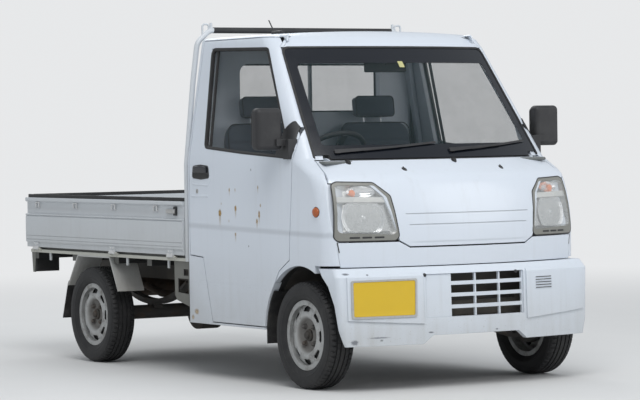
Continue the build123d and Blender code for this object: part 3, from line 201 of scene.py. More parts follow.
class Graph:
    """The node tree of one material."""

    def __init__(self, name: str) -> None:
        """Starts an empty tree with an output and a Principled shader."""
        self.material = bpy.data.materials.new(name)
        self.material.use_nodes = True
        self.tree = self.material.node_tree
        self.tree.nodes.clear()
        self.shader = self.tree.nodes.new("ShaderNodeBsdfPrincipled")
        self.output = self.tree.nodes.new("ShaderNodeOutputMaterial")
        self.tree.links.new(self.shader.outputs[0], self.output.inputs["Surface"])

    def _feed(self, socket: bpy.types.NodeSocket, value: Wire | float | Sequence[float]) -> None:
        """Links a wire to a socket, or sets the socket's own value."""
        if isinstance(value, Wire):
            self.tree.links.new(value.socket, socket)
        elif socket.type == "RGBA" and len(value) == 3:
            socket.default_value = (*value, 1.0)
        else:
            socket.default_value = value

    def node(
        self, kind: str, settings: dict[str, object] | None = None,
        inputs: dict[str | int, Wire | float | Sequence[float]] | None = None, output: int | str = 0,
    ) -> Wire:
        """Adds a node.

        Args:
            kind: The node's type name.
            settings: Its properties, set first.
            inputs: Values or links of its sockets, by name or number.
            output: Which output is returned.

        Returns:
            The chosen output, wrapped.
        """
        made = self.tree.nodes.new(kind)
        for key, value in (settings or {}).items():
            setattr(made, key, value)
        for key, value in (inputs or {}).items():
            self._feed(made.inputs[key], value)
        return Wire(self, made.outputs[output])

    def place(self) -> tuple[Wire, Wire, Wire, Wire]:
        """Object coordinates as a vector and as three numbers in metres."""
        vector = self.node("ShaderNodeTexCoord", output="Object")
        parts = self.tree.nodes.new("ShaderNodeSeparateXYZ")
        self.tree.links.new(vector.socket, parts.inputs[0])
        return vector, *(Wire(self, parts.outputs[k]) for k in range(3))

    def noise(self, vector: Wire, scale: float, detail: float = 2.0, rough: float = 0.5) -> Wire:
        """Noise between 0 and 1 at so many waves a metre."""
        return self.node(
            "ShaderNodeTexNoise", {}, {"Vector": vector, "Scale": scale, "Detail": detail, "Roughness": rough},
        )

    def stretched(self, vector: Wire, scale: tuple[float, float, float]) -> Wire:
        """Coordinates scaled by axis."""
        return self.node("ShaderNodeMapping", {}, {"Vector": vector, "Scale": scale})

    def blend(self, factor: Wire | float, low: Wire | Color, high: Wire | Color) -> Wire:
        """Mix of two colours."""
        return self.node("ShaderNodeMix", {"data_type": "RGBA"}, {0: factor, 6: low, 7: high}, output=2)

    def rounded(self, radius: float) -> Wire:
        """Normal that rounds the edges within a radius."""
        return self.node("ShaderNodeBevel", {"samples": 6}, {"Radius": radius})

    def bump(self, height: Wire, depth: float, normal: Wire | None = None) -> Wire:
        """Normal bent by a height of 0 to 1, over a depth in metres."""
        inputs: dict[str | int, Wire | float] = {"Height": height, "Distance": depth, "Strength": 1.0}
        if normal is not None:
            inputs["Normal"] = normal
        return self.node("ShaderNodeBump", {}, inputs)

    def finish(self, **sockets: Wire | float | Sequence[float]) -> bpy.types.Material:
        """Feeds the Principled shader by socket name, with underscores for spaces, and returns the material."""
        for key, value in sockets.items():
            self._feed(self.shader.inputs[key.replace("_", " ")], value)
        return self.material


@dataclass(frozen=True)
class Spot:
    """A mark on a panel: its place across the panel and its height, its half sizes, its strength and how far it
    has run down."""

    across: float
    z: float
    wide: float
    high: float
    strength: float = 1.0
    run: float = 0.0


@dataclass(frozen=True)
class Fold:
    """A ledge or a groove pressed into a panel, along a straight line between two points across and up.

    A ledge is a step of the given depth over its width, whose upper part stands out and fades upwards, with a band of
    painted shade along its line. A groove is a channel of that width and depth, with painted shade at its bottom.
    """

    start: tuple[float, float]
    stop: tuple[float, float]
    width: float
    depth: float
    groove: bool = False
    shade: float = 0.5


@dataclass(frozen=True)
class Paint:
    """Sprayed enamel with road dust, fine orange peel and patches of rust, and painted shade along its folds and
    inside the wheel arches.
    """

    name: str
    color: Color
    dust: Color = (0.36, 0.35, 0.32)
    dust_amount: float = 0.35
    dust_top: float = 0.75
    roughness: float = 0.32
    coat: float = 0.35
    edge: float = 0.003
    rust: tuple[Spot, ...] = ()
    marks: tuple[Spot, ...] = ()
    folds: tuple[Fold, ...] = ()
    side: Side | None = None
    # Near-black colour painted inside the wheel arches as their shade
    inner: Color | None = None

    rust_tones: ClassVar[tuple[Color, Color]] = ((0.19, 0.085, 0.015), (0.50, 0.33, 0.06))
    mark_tone: ClassVar[Color] = (0.05, 0.055, 0.075)

    def _spots(self, spots: tuple[Spot, ...], u: Wire, z: Wire, ragged: Wire) -> Wire | float:
        """Cover of a set of marks: inside a ragged ellipse, or in the streak below it."""
        cover: Wire | float = 0.0
        for spot in spots:
            across = (u - spot.across) / spot.wide
            up = (z - spot.z) / spot.high
            far = (across * across + up * up).root() + (ragged - 0.5) * 1.3
            patch = far.step(1.30, 0.55) * spot.strength
            if spot.run:
                share = spot.run / spot.high
                streak = across.absolute().step(1.0, 0.1) * up.step(-share, 0.0) * up.step(0.6, -0.2)
                patch = patch.most(streak * 0.75 * spot.strength)
            cover = patch.most(cover)
        return cover

    def _folds(self, u: Wire, z: Wire) -> tuple[Wire | float, Wire | float]:
        """Height in millimetres and painted shade of all the folds."""
        height: Wire | float = 0.0
        fold_shade: Wire | float = 0.0
        for fold in self.folds:
            (u0, z0), (u1, z1) = fold.start, fold.stop
            width = fold.width
            off = z - (u - u0) * ((z1 - z0) / (u1 - u0)) - z0
            fade = 4.0 if fold.groove else 60.0
            inside = u.step(u0 - fade, u0 + fade) * u.step(u1 + fade, u1 - fade)
            # Painted shade: each fold darkens the colour by its shade at a groove's bottom and along a ledge's line.
            if fold.groove:
                channel = off.absolute().step(width / 2, 0.0) * inside
                height = channel * -fold.depth + height
                fold_shade = (channel * fold.shade).most(fold_shade)
            else:
                ledge = off.step(-width / 2, width / 2) * off.step(width * 4 + 60.0, width / 2)
                height = ledge * inside * fold.depth + height
                fold_shade = (off.absolute().step(width * 0.62, 0.0) * inside * fold.shade).most(fold_shade)
        return height, fold_shade

    def material(self) -> bpy.types.Material:
        """Builds the enamel.

        Returns:
            The material. Dust grows towards the ground, each rust spot has a soft core and a streak below, and the
            folds and the insides of the wheel arches are darkened as painted shade.
        """
        g = Graph(self.name)
        vector, x, y, z = g.place()
        cloud = g.noise(vector, 3.1, 5.0, 0.6)
        streak = g.noise(g.stretched(vector, (26.0, 26.0, 1.6)), 1.0, 3.0, 0.6)
        low = z.step(self.dust_top, 0.18)
        film = low * (cloud * 0.9 + streak * 0.5) * self.dust_amount * 1.6
        dirt = (film + streak.step(0.52, 0.85) * 0.10).least(1.0)
        speck = g.noise(vector, 160.0, 2.0, 0.5).step(0.66, 0.72) * low * 0.5
        color = g.blend(cloud.step(0.3, 0.75) * 0.12, self.color, tuple(0.93 * c for c in self.color))
        color = g.blend((dirt + speck).least(0.85), color, self.dust)
        rough = dirt * 0.45 + self.roughness
        u = y * 1000.0 if self.side is None else x * 1000.0 - FRONT_AXLE
        up = z * 1000.0
        ragged = g.noise(vector, 95.0, 4.0, 0.7)
        facing: Wire | float = 1.0
        if self.side is not None:
            facing = (y * float(self.side.value)).step(*FLANK_OUT)
        if self.rust:
            stain = self._spots(self.rust, u, up, ragged) * facing
            tone = g.blend(ragged.step(0.35, 0.7), *self.rust_tones)
            color = g.blend(stain, color, tone)
            rough = rough + stain * 0.4
        if self.marks:
            color = g.blend(self._spots(self.marks, u, up, ragged) * facing, color, self.mark_tone)
        height, fold_shade = self._folds(u, up)
        # Painted shade along the folds: the colour darkens towards 0.28 of itself.
        if self.folds:
            color = g.blend(fold_shade * facing, color, tuple(0.28 * c for c in self.color))
        # Painted shade: inside the wheel arches, where the white panels lie in shade, the colour turns to the inner
        # colour.
        if self.inner:
            arch_shade = y.absolute().step(*ARCH_INSIDE) * z.step(*ARCH_BELOW) * x.step(*ARCH_BEHIND)
            color = g.blend(arch_shade, color, self.inner)
        peel = g.noise(vector, 420.0, 1.0)
        normal = g.bump(peel, 0.00006, g.rounded(self.edge))
        if self.folds:
            normal = g.bump(height, MM, normal)
        clear = (1.0 - dirt) * self.coat
        material = g.finish(Base_Color=color, Roughness=rough.least(0.9), Coat_Weight=clear, Normal=normal)
        g.shader.inputs["Coat Roughness"].default_value = 0.12
        return material


@dataclass(frozen=True)
class Plastic:
    """Moulded plastic with a fine grain, paler where it has weathered."""

    name: str
    color: Color
    worn: Color = (0.10, 0.10, 0.10)
    wear: float = 0.25
    roughness: float = 0.55
    grain: float = 900.0
    depth: float = 0.00008
    edge: float = 0.0015

    def material(self) -> bpy.types.Material:
        """Builds the plastic, whose grain is a fine noise and whose wear a coarse one."""
        g = Graph(self.name)
        vector, _, _, z = g.place()
        cloud = g.noise(vector, 9.0, 5.0, 0.65)
        color = g.blend(cloud.step(0.35, 0.8) * self.wear, self.color, self.worn)
        normal = g.bump(g.noise(vector, self.grain, 2.0), self.depth, g.rounded(self.edge))
        return g.finish(Base_Color=color, Roughness=(cloud * 0.25 + self.roughness - 0.1).least(1.0), Normal=normal)


@dataclass(frozen=True)
class Rubber:
    """Weathered rubber with patches of dust."""

    name: str
    color: Color = (0.016, 0.016, 0.017)
    dust: Color = (0.17, 0.16, 0.145)
    amount: float = 0.4

    def material(self) -> bpy.types.Material:
        """Builds the rubber, dusted by two noises of different size."""
        g = Graph(self.name)
        vector, _, _, _ = g.place()
        coarse = g.noise(vector, 14.0, 4.0, 0.6)
        fine = g.noise(vector, 260.0, 3.0, 0.6)
        mask = (coarse.step(0.35, 0.8) * fine.step(0.25, 0.8) * self.amount).least(1.0)
        normal = g.bump(fine, 0.00018)
        return g.finish(Base_Color=g.blend(mask, self.color, self.dust), Roughness=mask * 0.3 + 0.62, Normal=normal)


@dataclass(frozen=True)
class Metal:
    """Bare, plated or silver-painted metal with stains."""

    name: str
    color: Color
    stain: Color = (0.11, 0.085, 0.06)
    stained: float = 0.3
    roughness: float = 0.38
    metallic: float = 0.8
    edge: float = 0.0015
    dish: Color | None = None

    def material(self) -> bpy.types.Material:
        """Builds the metal, with stains where a noise is high and fine scratches in its roughness.

        Returns:
            The material. A wheel's disc has a dish, whose colour darkens within a radius of its axle.
        """
        g = Graph(self.name)
        vector, x, _, z = g.place()
        cloud = g.noise(vector, 16.0, 6.0, 0.68)
        scratch = g.noise(g.stretched(vector, (40.0, 300.0, 300.0)), 1.0, 2.0)
        mask = cloud.step(0.45, 0.78) * self.stained
        normal = g.bump(cloud, 0.0002, g.rounded(self.edge))
        if self.dish:
            along = (x - AXLES_MIDDLE).absolute() - HALF_WHEELBASE
            up = z - HUB_HEIGHT
            near = (along * along + up * up).root().step(*HUB_DISH)
            mask = mask.most(near * (cloud * 0.5 + 0.55)).least(1.0)
        return g.finish(
            Base_Color=g.blend(mask, self.color, self.dish or self.stain), Metallic=(1.0 - mask) * self.metallic,
            Roughness=scratch * 0.12 + mask * 0.35 + self.roughness, Normal=normal,
        )


@dataclass(frozen=True)
class Glass:
    """Window glass or a clear lens, thin enough to show what is behind it."""

    name: str
    tint: Color
    alpha: float
    roughness: float = 0.03
    dust: float = 0.05
    flutes: float = 0.0

    def material(self) -> bpy.types.Material:
        """Builds the glass. Flutes, where it has them, are a sine across the truck."""
        g = Graph(self.name)
        vector, _, y, _ = g.place()
        film = g.noise(vector, 5.0, 4.0, 0.6).step(0.4, 0.9) * self.dust
        sockets: dict[str, Wire | float | Color] = {
            "Base_Color": g.blend(film, self.tint, (0.5, 0.5, 0.48)),
            "Alpha": film + self.alpha,
            "Roughness": film * 1.5 + self.roughness,
        }
        if self.flutes:
            wave = (y * self.flutes).sine() * 0.5 + 0.5
            sockets["Normal"] = g.bump(wave, 0.0012)
        material = g.finish(**sockets)
        g.shader.inputs["IOR"].default_value = 1.5
        material.use_backface_culling = False
        return material


@dataclass(frozen=True)
class Cloth:
    """Woven seat cloth."""

    name: str
    color: Color
    light: Color
    threads: float = 620.0

    def material(self) -> bpy.types.Material:
        """Builds the cloth: two crossed sines make the weave, and a noise makes its melange."""
        g = Graph(self.name)
        vector, x, y, z = g.place()
        warp = (y * self.threads).sine()
        weft = ((x + z) * self.threads).sine()
        weave = warp * weft * 0.5 + 0.5
        melange = g.noise(vector, 340.0, 3.0, 0.7)
        color = g.blend((weave * 0.35 + melange.step(0.35, 0.75) * 0.5).least(1.0), self.color, self.light)
        material = g.finish(Base_Color=color, Roughness=0.92, Normal=g.bump(weave, 0.0004))
        g.shader.inputs["Sheen Weight"].default_value = 0.25
        return material


# Palette of this truck, from the finishes that its pieces have

DOOR_RUST = (
    Spot(-750.0, 837.0, 14.0, 19.0, 1.0, 80.0), Spot(-594.0, 863.0, 11.0, 15.0, 0.95, 60.0),
    Spot(-365.0, 836.0, 9.0, 20.0, 0.9, 60.0), Spot(-386.0, 802.0, 10.0, 13.0, 0.85, 45.0),
    Spot(-653.0, 954.0, 6.0, 12.0, 0.8, 40.0), Spot(-596.0, 955.0, 5.0, 8.0, 0.6, 20.0),
    Spot(-375.0, 969.0, 6.0, 10.0, 0.7, 40.0), Spot(-598.0, 734.0, 9.0, 9.0, 0.75, 50.0),
    Spot(-351.0, 881.0, 6.0, 9.0, 0.7), Spot(-660.0, 800.0, 8.0, 8.0, 0.25), Spot(-735.0, 885.0, 5.0, 6.0, 0.4),
)
DOOR_MARKS = (Spot(-439.0, 1056.0, 5.0, 6.0, 0.6), Spot(-472.0, 678.0, 5.0, 5.0, 0.7))
SILL_RUST = (Spot(-1010.0, 330.0, 22.0, 14.0, 0.7), Spot(-1050.0, 300.0, 14.0, 12.0, 0.6))
BUMPER_MARKS = (
    Spot(-686.0, 564.0, 17.0, 5.0, 0.8), Spot(-582.0, 558.0, 6.0, 4.0, 0.7), Spot(-263.0, 275.0, 14.0, 4.0, 0.8),
    Spot(113.0, 274.0, 8.0, 4.0, 0.7), Spot(-656.0, 241.0, 18.0, 12.0, 0.7), Spot(-533.0, 260.0, 50.0, 4.0, 0.6),
    Spot(-522.0, 247.0, 8.0, 5.0, 0.6),
)
# Side folds: the crease and a low ledge, each with a band of painted shade along it
SIDE_FOLDS = (
    Fold((-1150.0, 772.0), (350.0, 743.0), 34.0, 4.5, shade=0.16),
    Fold((-1085.0, 480.0), (-358.0, 484.0), 24.0, -2.6, shade=0.06),
)
# Gate folds: two pressed lines with painted shade in them, and a 60 mm band of painted shade under the top rail with
# no depth
GATE_FOLDS = (
    Fold((-2948.0, 676.0), (-1145.0, 676.0), 6.0, 2.0, True, 0.35),
    Fold((-2948.0, 655.0), (-1145.0, 655.0), 6.0, 2.0, True, 0.35),
    Fold((-2948.0, 832.0), (-1145.0, 832.0), 60.0, 0.0, True, 0.20),
)
# Bonnet folds: two grooves with painted shade in them, and a ledge with a band of painted shade
BONNET_FOLDS = (
    Fold((-354.0, 841.0), (364.0, 841.0), 6.5, 2.4, True, 0.55),
    Fold((-338.0, 789.0), (348.0, 789.0), 6.5, 2.4, True, 0.55),
    Fold((-330.0, 706.0), (330.0, 706.0), 12.0, 1.6, shade=0.12),
)


WHITE: Color = (0.66, 0.71, 0.78)
BED_WHITE: Color = (0.60, 0.63, 0.66)
LINING_DUST: Color = (0.3, 0.3, 0.28)
WHEEL_GRIME: Color = (0.10, 0.085, 0.065)
Finish = Paint | Plastic | Rubber | Metal | Glass | Cloth

FINISHES: tuple[Finish, ...] = (
    Paint("cab_white", WHITE),
    Paint("bonnet_white", WHITE, folds=BONNET_FOLDS),
    Paint(
        "side_white_right", WHITE, rust=SILL_RUST, folds=SIDE_FOLDS, side=Side.RIGHT, inner=(0.02, 0.02, 0.02),
    ),
    Paint("side_white_left", WHITE, folds=SIDE_FOLDS, side=Side.LEFT, inner=(0.02, 0.02, 0.02)),
    Paint(
        "sill_white", (0.56, 0.56, 0.50), dust_amount=0.5, roughness=0.5, coat=0.0, dust_top=0.8,
        inner=(0.022, 0.022, 0.022),
    ),
    Paint("door_white_right", WHITE, rust=DOOR_RUST, marks=DOOR_MARKS, folds=SIDE_FOLDS, side=Side.RIGHT),
    Paint("bed_white", BED_WHITE, dust_amount=0.5, roughness=0.42, coat=0.15, dust_top=1.1),
    Paint("bumper_white", (0.65, 0.70, 0.765), roughness=0.38, coat=0.2, dust_top=0.6, marks=BUMPER_MARKS),
    Paint("chassis_black", (0.022, 0.022, 0.023), (0.13, 0.115, 0.095), 0.7, 0.8, 0.6, 0.0),
    Paint("sheet_grey", (0.56, 0.57, 0.56), (0.26, 0.23, 0.19), 0.55, 0.8, 0.55, 0.0),
    *(
        Paint(
            f"gate_white_{side.label}", BED_WHITE, dust_amount=0.5, roughness=0.42, coat=0.15, dust_top=1.0,
            folds=GATE_FOLDS, side=side,
        )
        for side in Side
    ),
    Paint("deck_worn", (0.55, 0.56, 0.56), (0.24, 0.20, 0.15), 0.9, 0.95, 0.6, 0.0),
    Paint("door_card_grey", (0.30, 0.33, 0.32), LINING_DUST, 0.0, 0.1, 0.7, 0.0),
    Paint("lining_grey", (0.36, 0.40, 0.38), LINING_DUST, 0.0, 0.1, 0.7, 0.0),
    Plastic("trim_black", (0.022, 0.022, 0.024)),
    Plastic("trim_glossy_black", (0.006, 0.008, 0.013), wear=0.0, roughness=0.18, grain=300.0, depth=0.00001),
    Plastic("facia_grey", (0.14, 0.15, 0.15), (0.22, 0.23, 0.22)),
    Plastic("lamp_bezel", (0.23, 0.23, 0.21), (0.17, 0.165, 0.15), 0.5, 0.36),
    Plastic("lamp_clear", (0.62, 0.64, 0.64), (0.5, 0.5, 0.48), 0.3, 0.2),
    # Near black as painted shade: behind the wheel vents, under the door handle and in the lock's slot
    Plastic("grille_dark", (0.012, 0.012, 0.012), wear=0.1),
    Plastic("plate_yellow", (0.66, 0.44, 0.022), (0.60, 0.40, 0.03), 0.3, 0.45),
    Plastic("sticker_pale", (0.52, 0.50, 0.22), (0.45, 0.44, 0.3), 0.3, 0.5),
    Plastic("amber", (0.85, 0.20, 0.02), (0.6, 0.13, 0.02), 0.3, 0.25),
    Plastic("amber_dim", (0.42, 0.10, 0.025), (0.34, 0.10, 0.04), 0.5, 0.22),
    Plastic("lamp_ledge", (0.60, 0.60, 0.58), (0.50, 0.50, 0.48), 0.3, 0.4),
    Metal("lamp_silver", (0.72, 0.72, 0.71), (0.5, 0.48, 0.44), 0.15, 0.22, 0.85),
    Glass("lens_fluted", (0.80, 0.82, 0.82), 0.22, 0.05, 0.08, 620.0),
    Plastic("lens_red", (0.50, 0.012, 0.012), (0.32, 0.01, 0.01), 0.3, 0.2),
    Rubber("seal_black", amount=0.22),
    Rubber("tyre_black", (0.011, 0.011, 0.012), amount=0.2),
    Rubber("flap_black", amount=0.55),
    Metal("wheel_silver", (0.40, 0.405, 0.40), WHEEL_GRIME, 0.85, 0.42, 0.55),
    Metal("wheel_disc_silver", (0.44, 0.445, 0.44), WHEEL_GRIME, 0.8, 0.42, 0.55, dish=(0.085, 0.075, 0.065)),
    Metal("steel_bare", (0.52, 0.52, 0.51), roughness=0.4),
    Metal("chrome_bright", (0.82, 0.83, 0.84), stained=0.05, roughness=0.12, metallic=1.0),
    Metal("cast_iron", (0.10, 0.095, 0.09), (0.16, 0.10, 0.06), 0.6, 0.7, 0.3),
    Metal("hub_dark", (0.055, 0.05, 0.045), (0.14, 0.08, 0.045), 0.7, 0.6, 0.3),
    Metal("zinc_bright", (0.66, 0.66, 0.66), stained=0.15, roughness=0.3, metallic=0.6),
    Metal("zinc_dull", (0.42, 0.42, 0.41), (0.2, 0.16, 0.12), 0.5, 0.5, 0.7),
    Metal("rust_brown", (0.055, 0.04, 0.03), (0.10, 0.06, 0.035), 0.8, 0.85, 0.0),
    Metal("wiper_grey", (0.22, 0.22, 0.23), stained=0.1, roughness=0.35, metallic=0.4),
    Glass("window_glass", (0.03, 0.05, 0.055), 0.17),
    Glass("lamp_glass", (0.70, 0.72, 0.72), 0.18, 0.05, 0.10),
    Cloth("seat_cloth", (0.055, 0.065, 0.085), (0.14, 0.155, 0.19)),
    Cloth("belt_webbing", (0.02, 0.02, 0.022), (0.06, 0.06, 0.06), 1400.0),
)


class Palette:
    """The truck's finishes, each built once."""

    def __init__(self) -> None:
        """Builds every finish of the truck."""
        self.finishes: dict[str, bpy.types.Material] = {finish.name: finish.material() for finish in FINISHES}

    def __getitem__(self, name: str) -> bpy.types.Material:
        """The finish of that name."""
        return self.finishes[name]


# Shapes


def metres(points: Point | np.ndarray) -> np.ndarray:
    """Points of the frame in metres, from millimetres ahead of the front axle, to the left and up."""
    return (np.asarray(points, float) + (FRONT_AXLE, 0.0, 0.0)) * MM


def unit(v: np.ndarray) -> np.ndarray:
    """Each vector divided by its length."""
    return v / np.maximum(np.linalg.norm(v, axis=-1, keepdims=True), 1e-12)


def angles(count: int) -> np.ndarray:
    """Angles that divide a full turn evenly."""
    return np.arange(count) * 2 * math.pi / count


def oblong(left: float, right: float, low: float, high: float) -> Outline:
    """Corners of an upright rectangle on a skin."""
    return (left, low), (right, low), (right, high), (left, high)


def fillet_path(
    corners: Outline | np.ndarray, radius: float, closed: bool, step: float, runs: int | None = None,
) -> np.ndarray:
    """A polyline whose corners are arcs and whose straight runs are divided.

    Each arc lies on the circle of the radius that touches both runs: its centre is on the corner's bisector, at the
    radius over the sine of half the angle. A run shorter than the arc needs gets a smaller radius.

    Args:
        corners: Points in two or three dimensions.
        radius: Radius of each arc.
        closed: Whether the last corner joins the first.
        step: Longest distance between two points of a run.
        runs: Points inside every run, in place of the step. Then each corner has all its points too.

    Returns:
        The points as an array.
    """
    corners = np.asarray(corners, float)
    count = len(corners)
    pieces = []
    for k in range(count):
        here = corners[k]
        if not closed and k in (0, count - 1):
            pieces.append(here[None])
            continue
        to_last, to_next = corners[k - 1] - here, corners[(k + 1) % count] - here
        room = ARC_SHARE * min(np.linalg.norm(to_last), np.linalg.norm(to_next))
        u, v = unit(to_last), unit(to_next)
        half = math.acos(float(np.clip(u @ v, -1, 1))) / 2
        reach = min(radius / max(math.tan(half), 1e-6), room)
        r = reach * math.tan(half)
        if r < LEAST_RADIUS or half > math.pi / 2 - 1e-3:
            pieces.append(np.repeat(here[None], ARC_POINTS if runs else 1, 0))
            continue
        centre = here + unit(u + v) * r / math.sin(half)
        start, stop = here + u * reach - centre, here + v * reach - centre
        angle = math.pi - 2 * half
        t = np.linspace(0, 1, ARC_POINTS)[:, None]
        arc = (np.sin((1 - t) * angle) * start + np.sin(t * angle) * stop) / math.sin(angle)
        pieces.append(centre + arc)
    out = []
    for k, piece in enumerate(pieces):
        out.append(piece)
        if k + 1 < count or closed:
            a, b = piece[-1], pieces[(k + 1) % count][0]
            n = int(np.linalg.norm(b - a) // step) if runs is None else runs
            out.append(a + (b - a) * (np.arange(1, n + 1) / (n + 1))[:, None])
    return np.concatenate(out)


def grid_faces(rows: int, columns: int, wrap_rows: bool) -> np.ndarray:
    """Quads of a grid of vertices numbered row by row. Each row is a loop, and the rows are one where asked."""
    i, j = np.meshgrid(np.arange(rows if wrap_rows else rows - 1), np.arange(columns), indexing="ij")
    i2, j2 = (i + 1) % rows, (j + 1) % columns
    corners = i * columns + j, i2 * columns + j, i2 * columns + j2, i * columns + j2
    return np.stack(corners, -1).reshape(-1, 4)


@dataclass
class Shape:
    """Vertices in metres and faces of one surface or of several put together."""

    points: np.ndarray
    faces: list[tuple[int, ...]]

    @staticmethod
    def grid(points: np.ndarray, wrap_rows: bool = False, caps: bool = False) -> Shape:
        """A surface from a grid of points whose rows are loops.

        Args:
            points: Array of rows, columns and coordinates.
            wrap_rows: Whether the last row joins the first.
            caps: Whether the first and the last row are closed with a face.

        Returns:
            The surface.
        """
        rows, columns = points.shape[:2]
        faces = [tuple(f) for f in grid_faces(rows, columns, wrap_rows).tolist()]
        if caps:
            faces.append(tuple(range(columns)))
            faces.append(tuple(range((rows - 1) * columns, rows * columns))[::-1])
        return Shape(points.reshape(-1, 3), faces)

    def __add__(self, other: Shape) -> Shape:
        """Both surfaces in one mesh."""
        shift = len(self.points)
        moved = [tuple(i + shift for i in face) for face in other.faces]
        return Shape(np.concatenate((self.points, other.points)), self.faces + moved)

    def mirrored(self) -> Shape:
        """The shape on the other side of the centre plane."""
        return Shape(self.points * (1, -1, 1), [f[::-1] for f in self.faces])


def joined(shapes: Sequence[Shape]) -> Shape:
    """Several shapes as one."""
    return sum(shapes[1:], shapes[0])


def both_sides(shape: Shape) -> Shape:
    """A shape and its mirror image."""
    return shape + shape.mirrored()


def flipped(outline: Outline) -> list[tuple[float, float]]:
    """An outline seen from the front, on the other side of the centre plane."""
    return [(-y, z) for y, z in reversed(outline)]


def tangents(path: np.ndarray, closed: bool) -> np.ndarray:
    """Unit direction of a path at each point, from the points on both sides of it."""
    if closed:
        return unit(np.roll(path, -1, 0) - np.roll(path, 1, 0))
    return unit(np.gradient(path, axis=0))


def tube(
    corners: Sequence[Point | np.ndarray], radius: float, bend: float = 20.0, sides: int = 14, closed: bool = False,
) -> Shape:
    """A round bar along a path with rounded corners: a circle carried along it, square to its direction.

    Args:
        corners: Points in millimetres, as metres() takes them.
        radius: Radius of the bar.
        bend: Radius of its bends.
        sides: Points round it.
        closed: Whether it is a loop.

    Returns:
        The bar.
    """
    path = fillet_path(np.asarray(corners, float), bend, closed, LONGEST_RUN)
    along = tangents(path, closed)
    across = unit(np.cross(along, SKEW))
    out = np.cross(along, across)
    t = angles(sides)[::-1, None]
    ring = np.cos(t) * across[:, None] + np.sin(t) * out[:, None]
    return Shape.grid(metres(path[:, None] + radius * ring), closed, caps=not closed)


def turned(
    profile: Outline, centre: Point | np.ndarray, axis: Point | np.ndarray, sides: int, closed: bool = False,
    hint: Point = SKEW,
) -> Shape:
    """A profile of radius and distance along the axis, turned round the axis.

    Args:
        profile: Radii and distances, the first ones at the low end.
        centre: A point on the axis, from which the distances are counted.
        axis: Direction of the axis.
        sides: Points round the axis.
        closed: Whether the profile's last point joins its first.
        hint: A direction off the axis, square to which the first point lies.

    Returns:
        The shape. Ends that stand off the axis are capped.
    """
    along = unit(np.asarray(axis, float))
    a = unit(np.cross(along, hint))
    b = np.cross(along, a)
    t = angles(sides)[None, :, None]
    section = np.asarray(profile, float)
    ring = np.cos(t) * a + np.sin(t) * b
    grid = np.asarray(centre, float) + section[:, None, :1] * ring + section[:, None, 1:] * along
    return Shape.grid(metres(grid), closed, caps=not closed)


def rounded_box(one: Point, other: Point, radius: float, steps: int = 4) -> Shape:
    """A box with rounded edges.

    The surface is a sphere of the edge's radius whose eight parts are moved out to the inner box's corners: a point
    is the inner corner of its sign plus the radius times its direction.

    Args:
        one: A corner in millimetres, as metres() takes it.
        other: The opposite corner.
        radius: Radius of the edges.
        steps: Faces along a quarter turn.

    Returns:
        The closed shape.
    """
    low, high = np.minimum(one, other), np.maximum(one, other)
    centre, half = (low + high) / 2, (high - low) / 2
    radius = min(radius, float(half.min()) * FULL_ROUND)
    quarter = np.linspace(0, math.pi / 2, steps + 1)
    turn = np.concatenate([quarter + k * math.pi / 2 for k in range(4)])
    rise = np.concatenate((quarter - math.pi / 2, quarter))[:, None]
    parts = np.cos(rise) * np.cos(turn), np.cos(rise) * np.sin(turn), np.sin(rise)
    direction = np.stack(np.broadcast_arrays(*parts), -1)
    corner_x, corner_y = (np.repeat(signs, steps + 1) for signs in ((1, -1, -1, 1), (1, 1, -1, -1)))
    corner_z = np.repeat((-1, 1), steps + 1)[:, None]
    signs = np.stack(np.broadcast_arrays(corner_x, corner_y, corner_z), -1)
    rows, columns = direction.shape[:2]
    shape = Shape.grid(metres(centre + signs * (half - radius) + direction * radius))
    shape.faces.append(tuple(range(columns))[::-1])
    shape.faces.append(tuple(range((rows - 1) * columns, rows * columns)))
    return shape


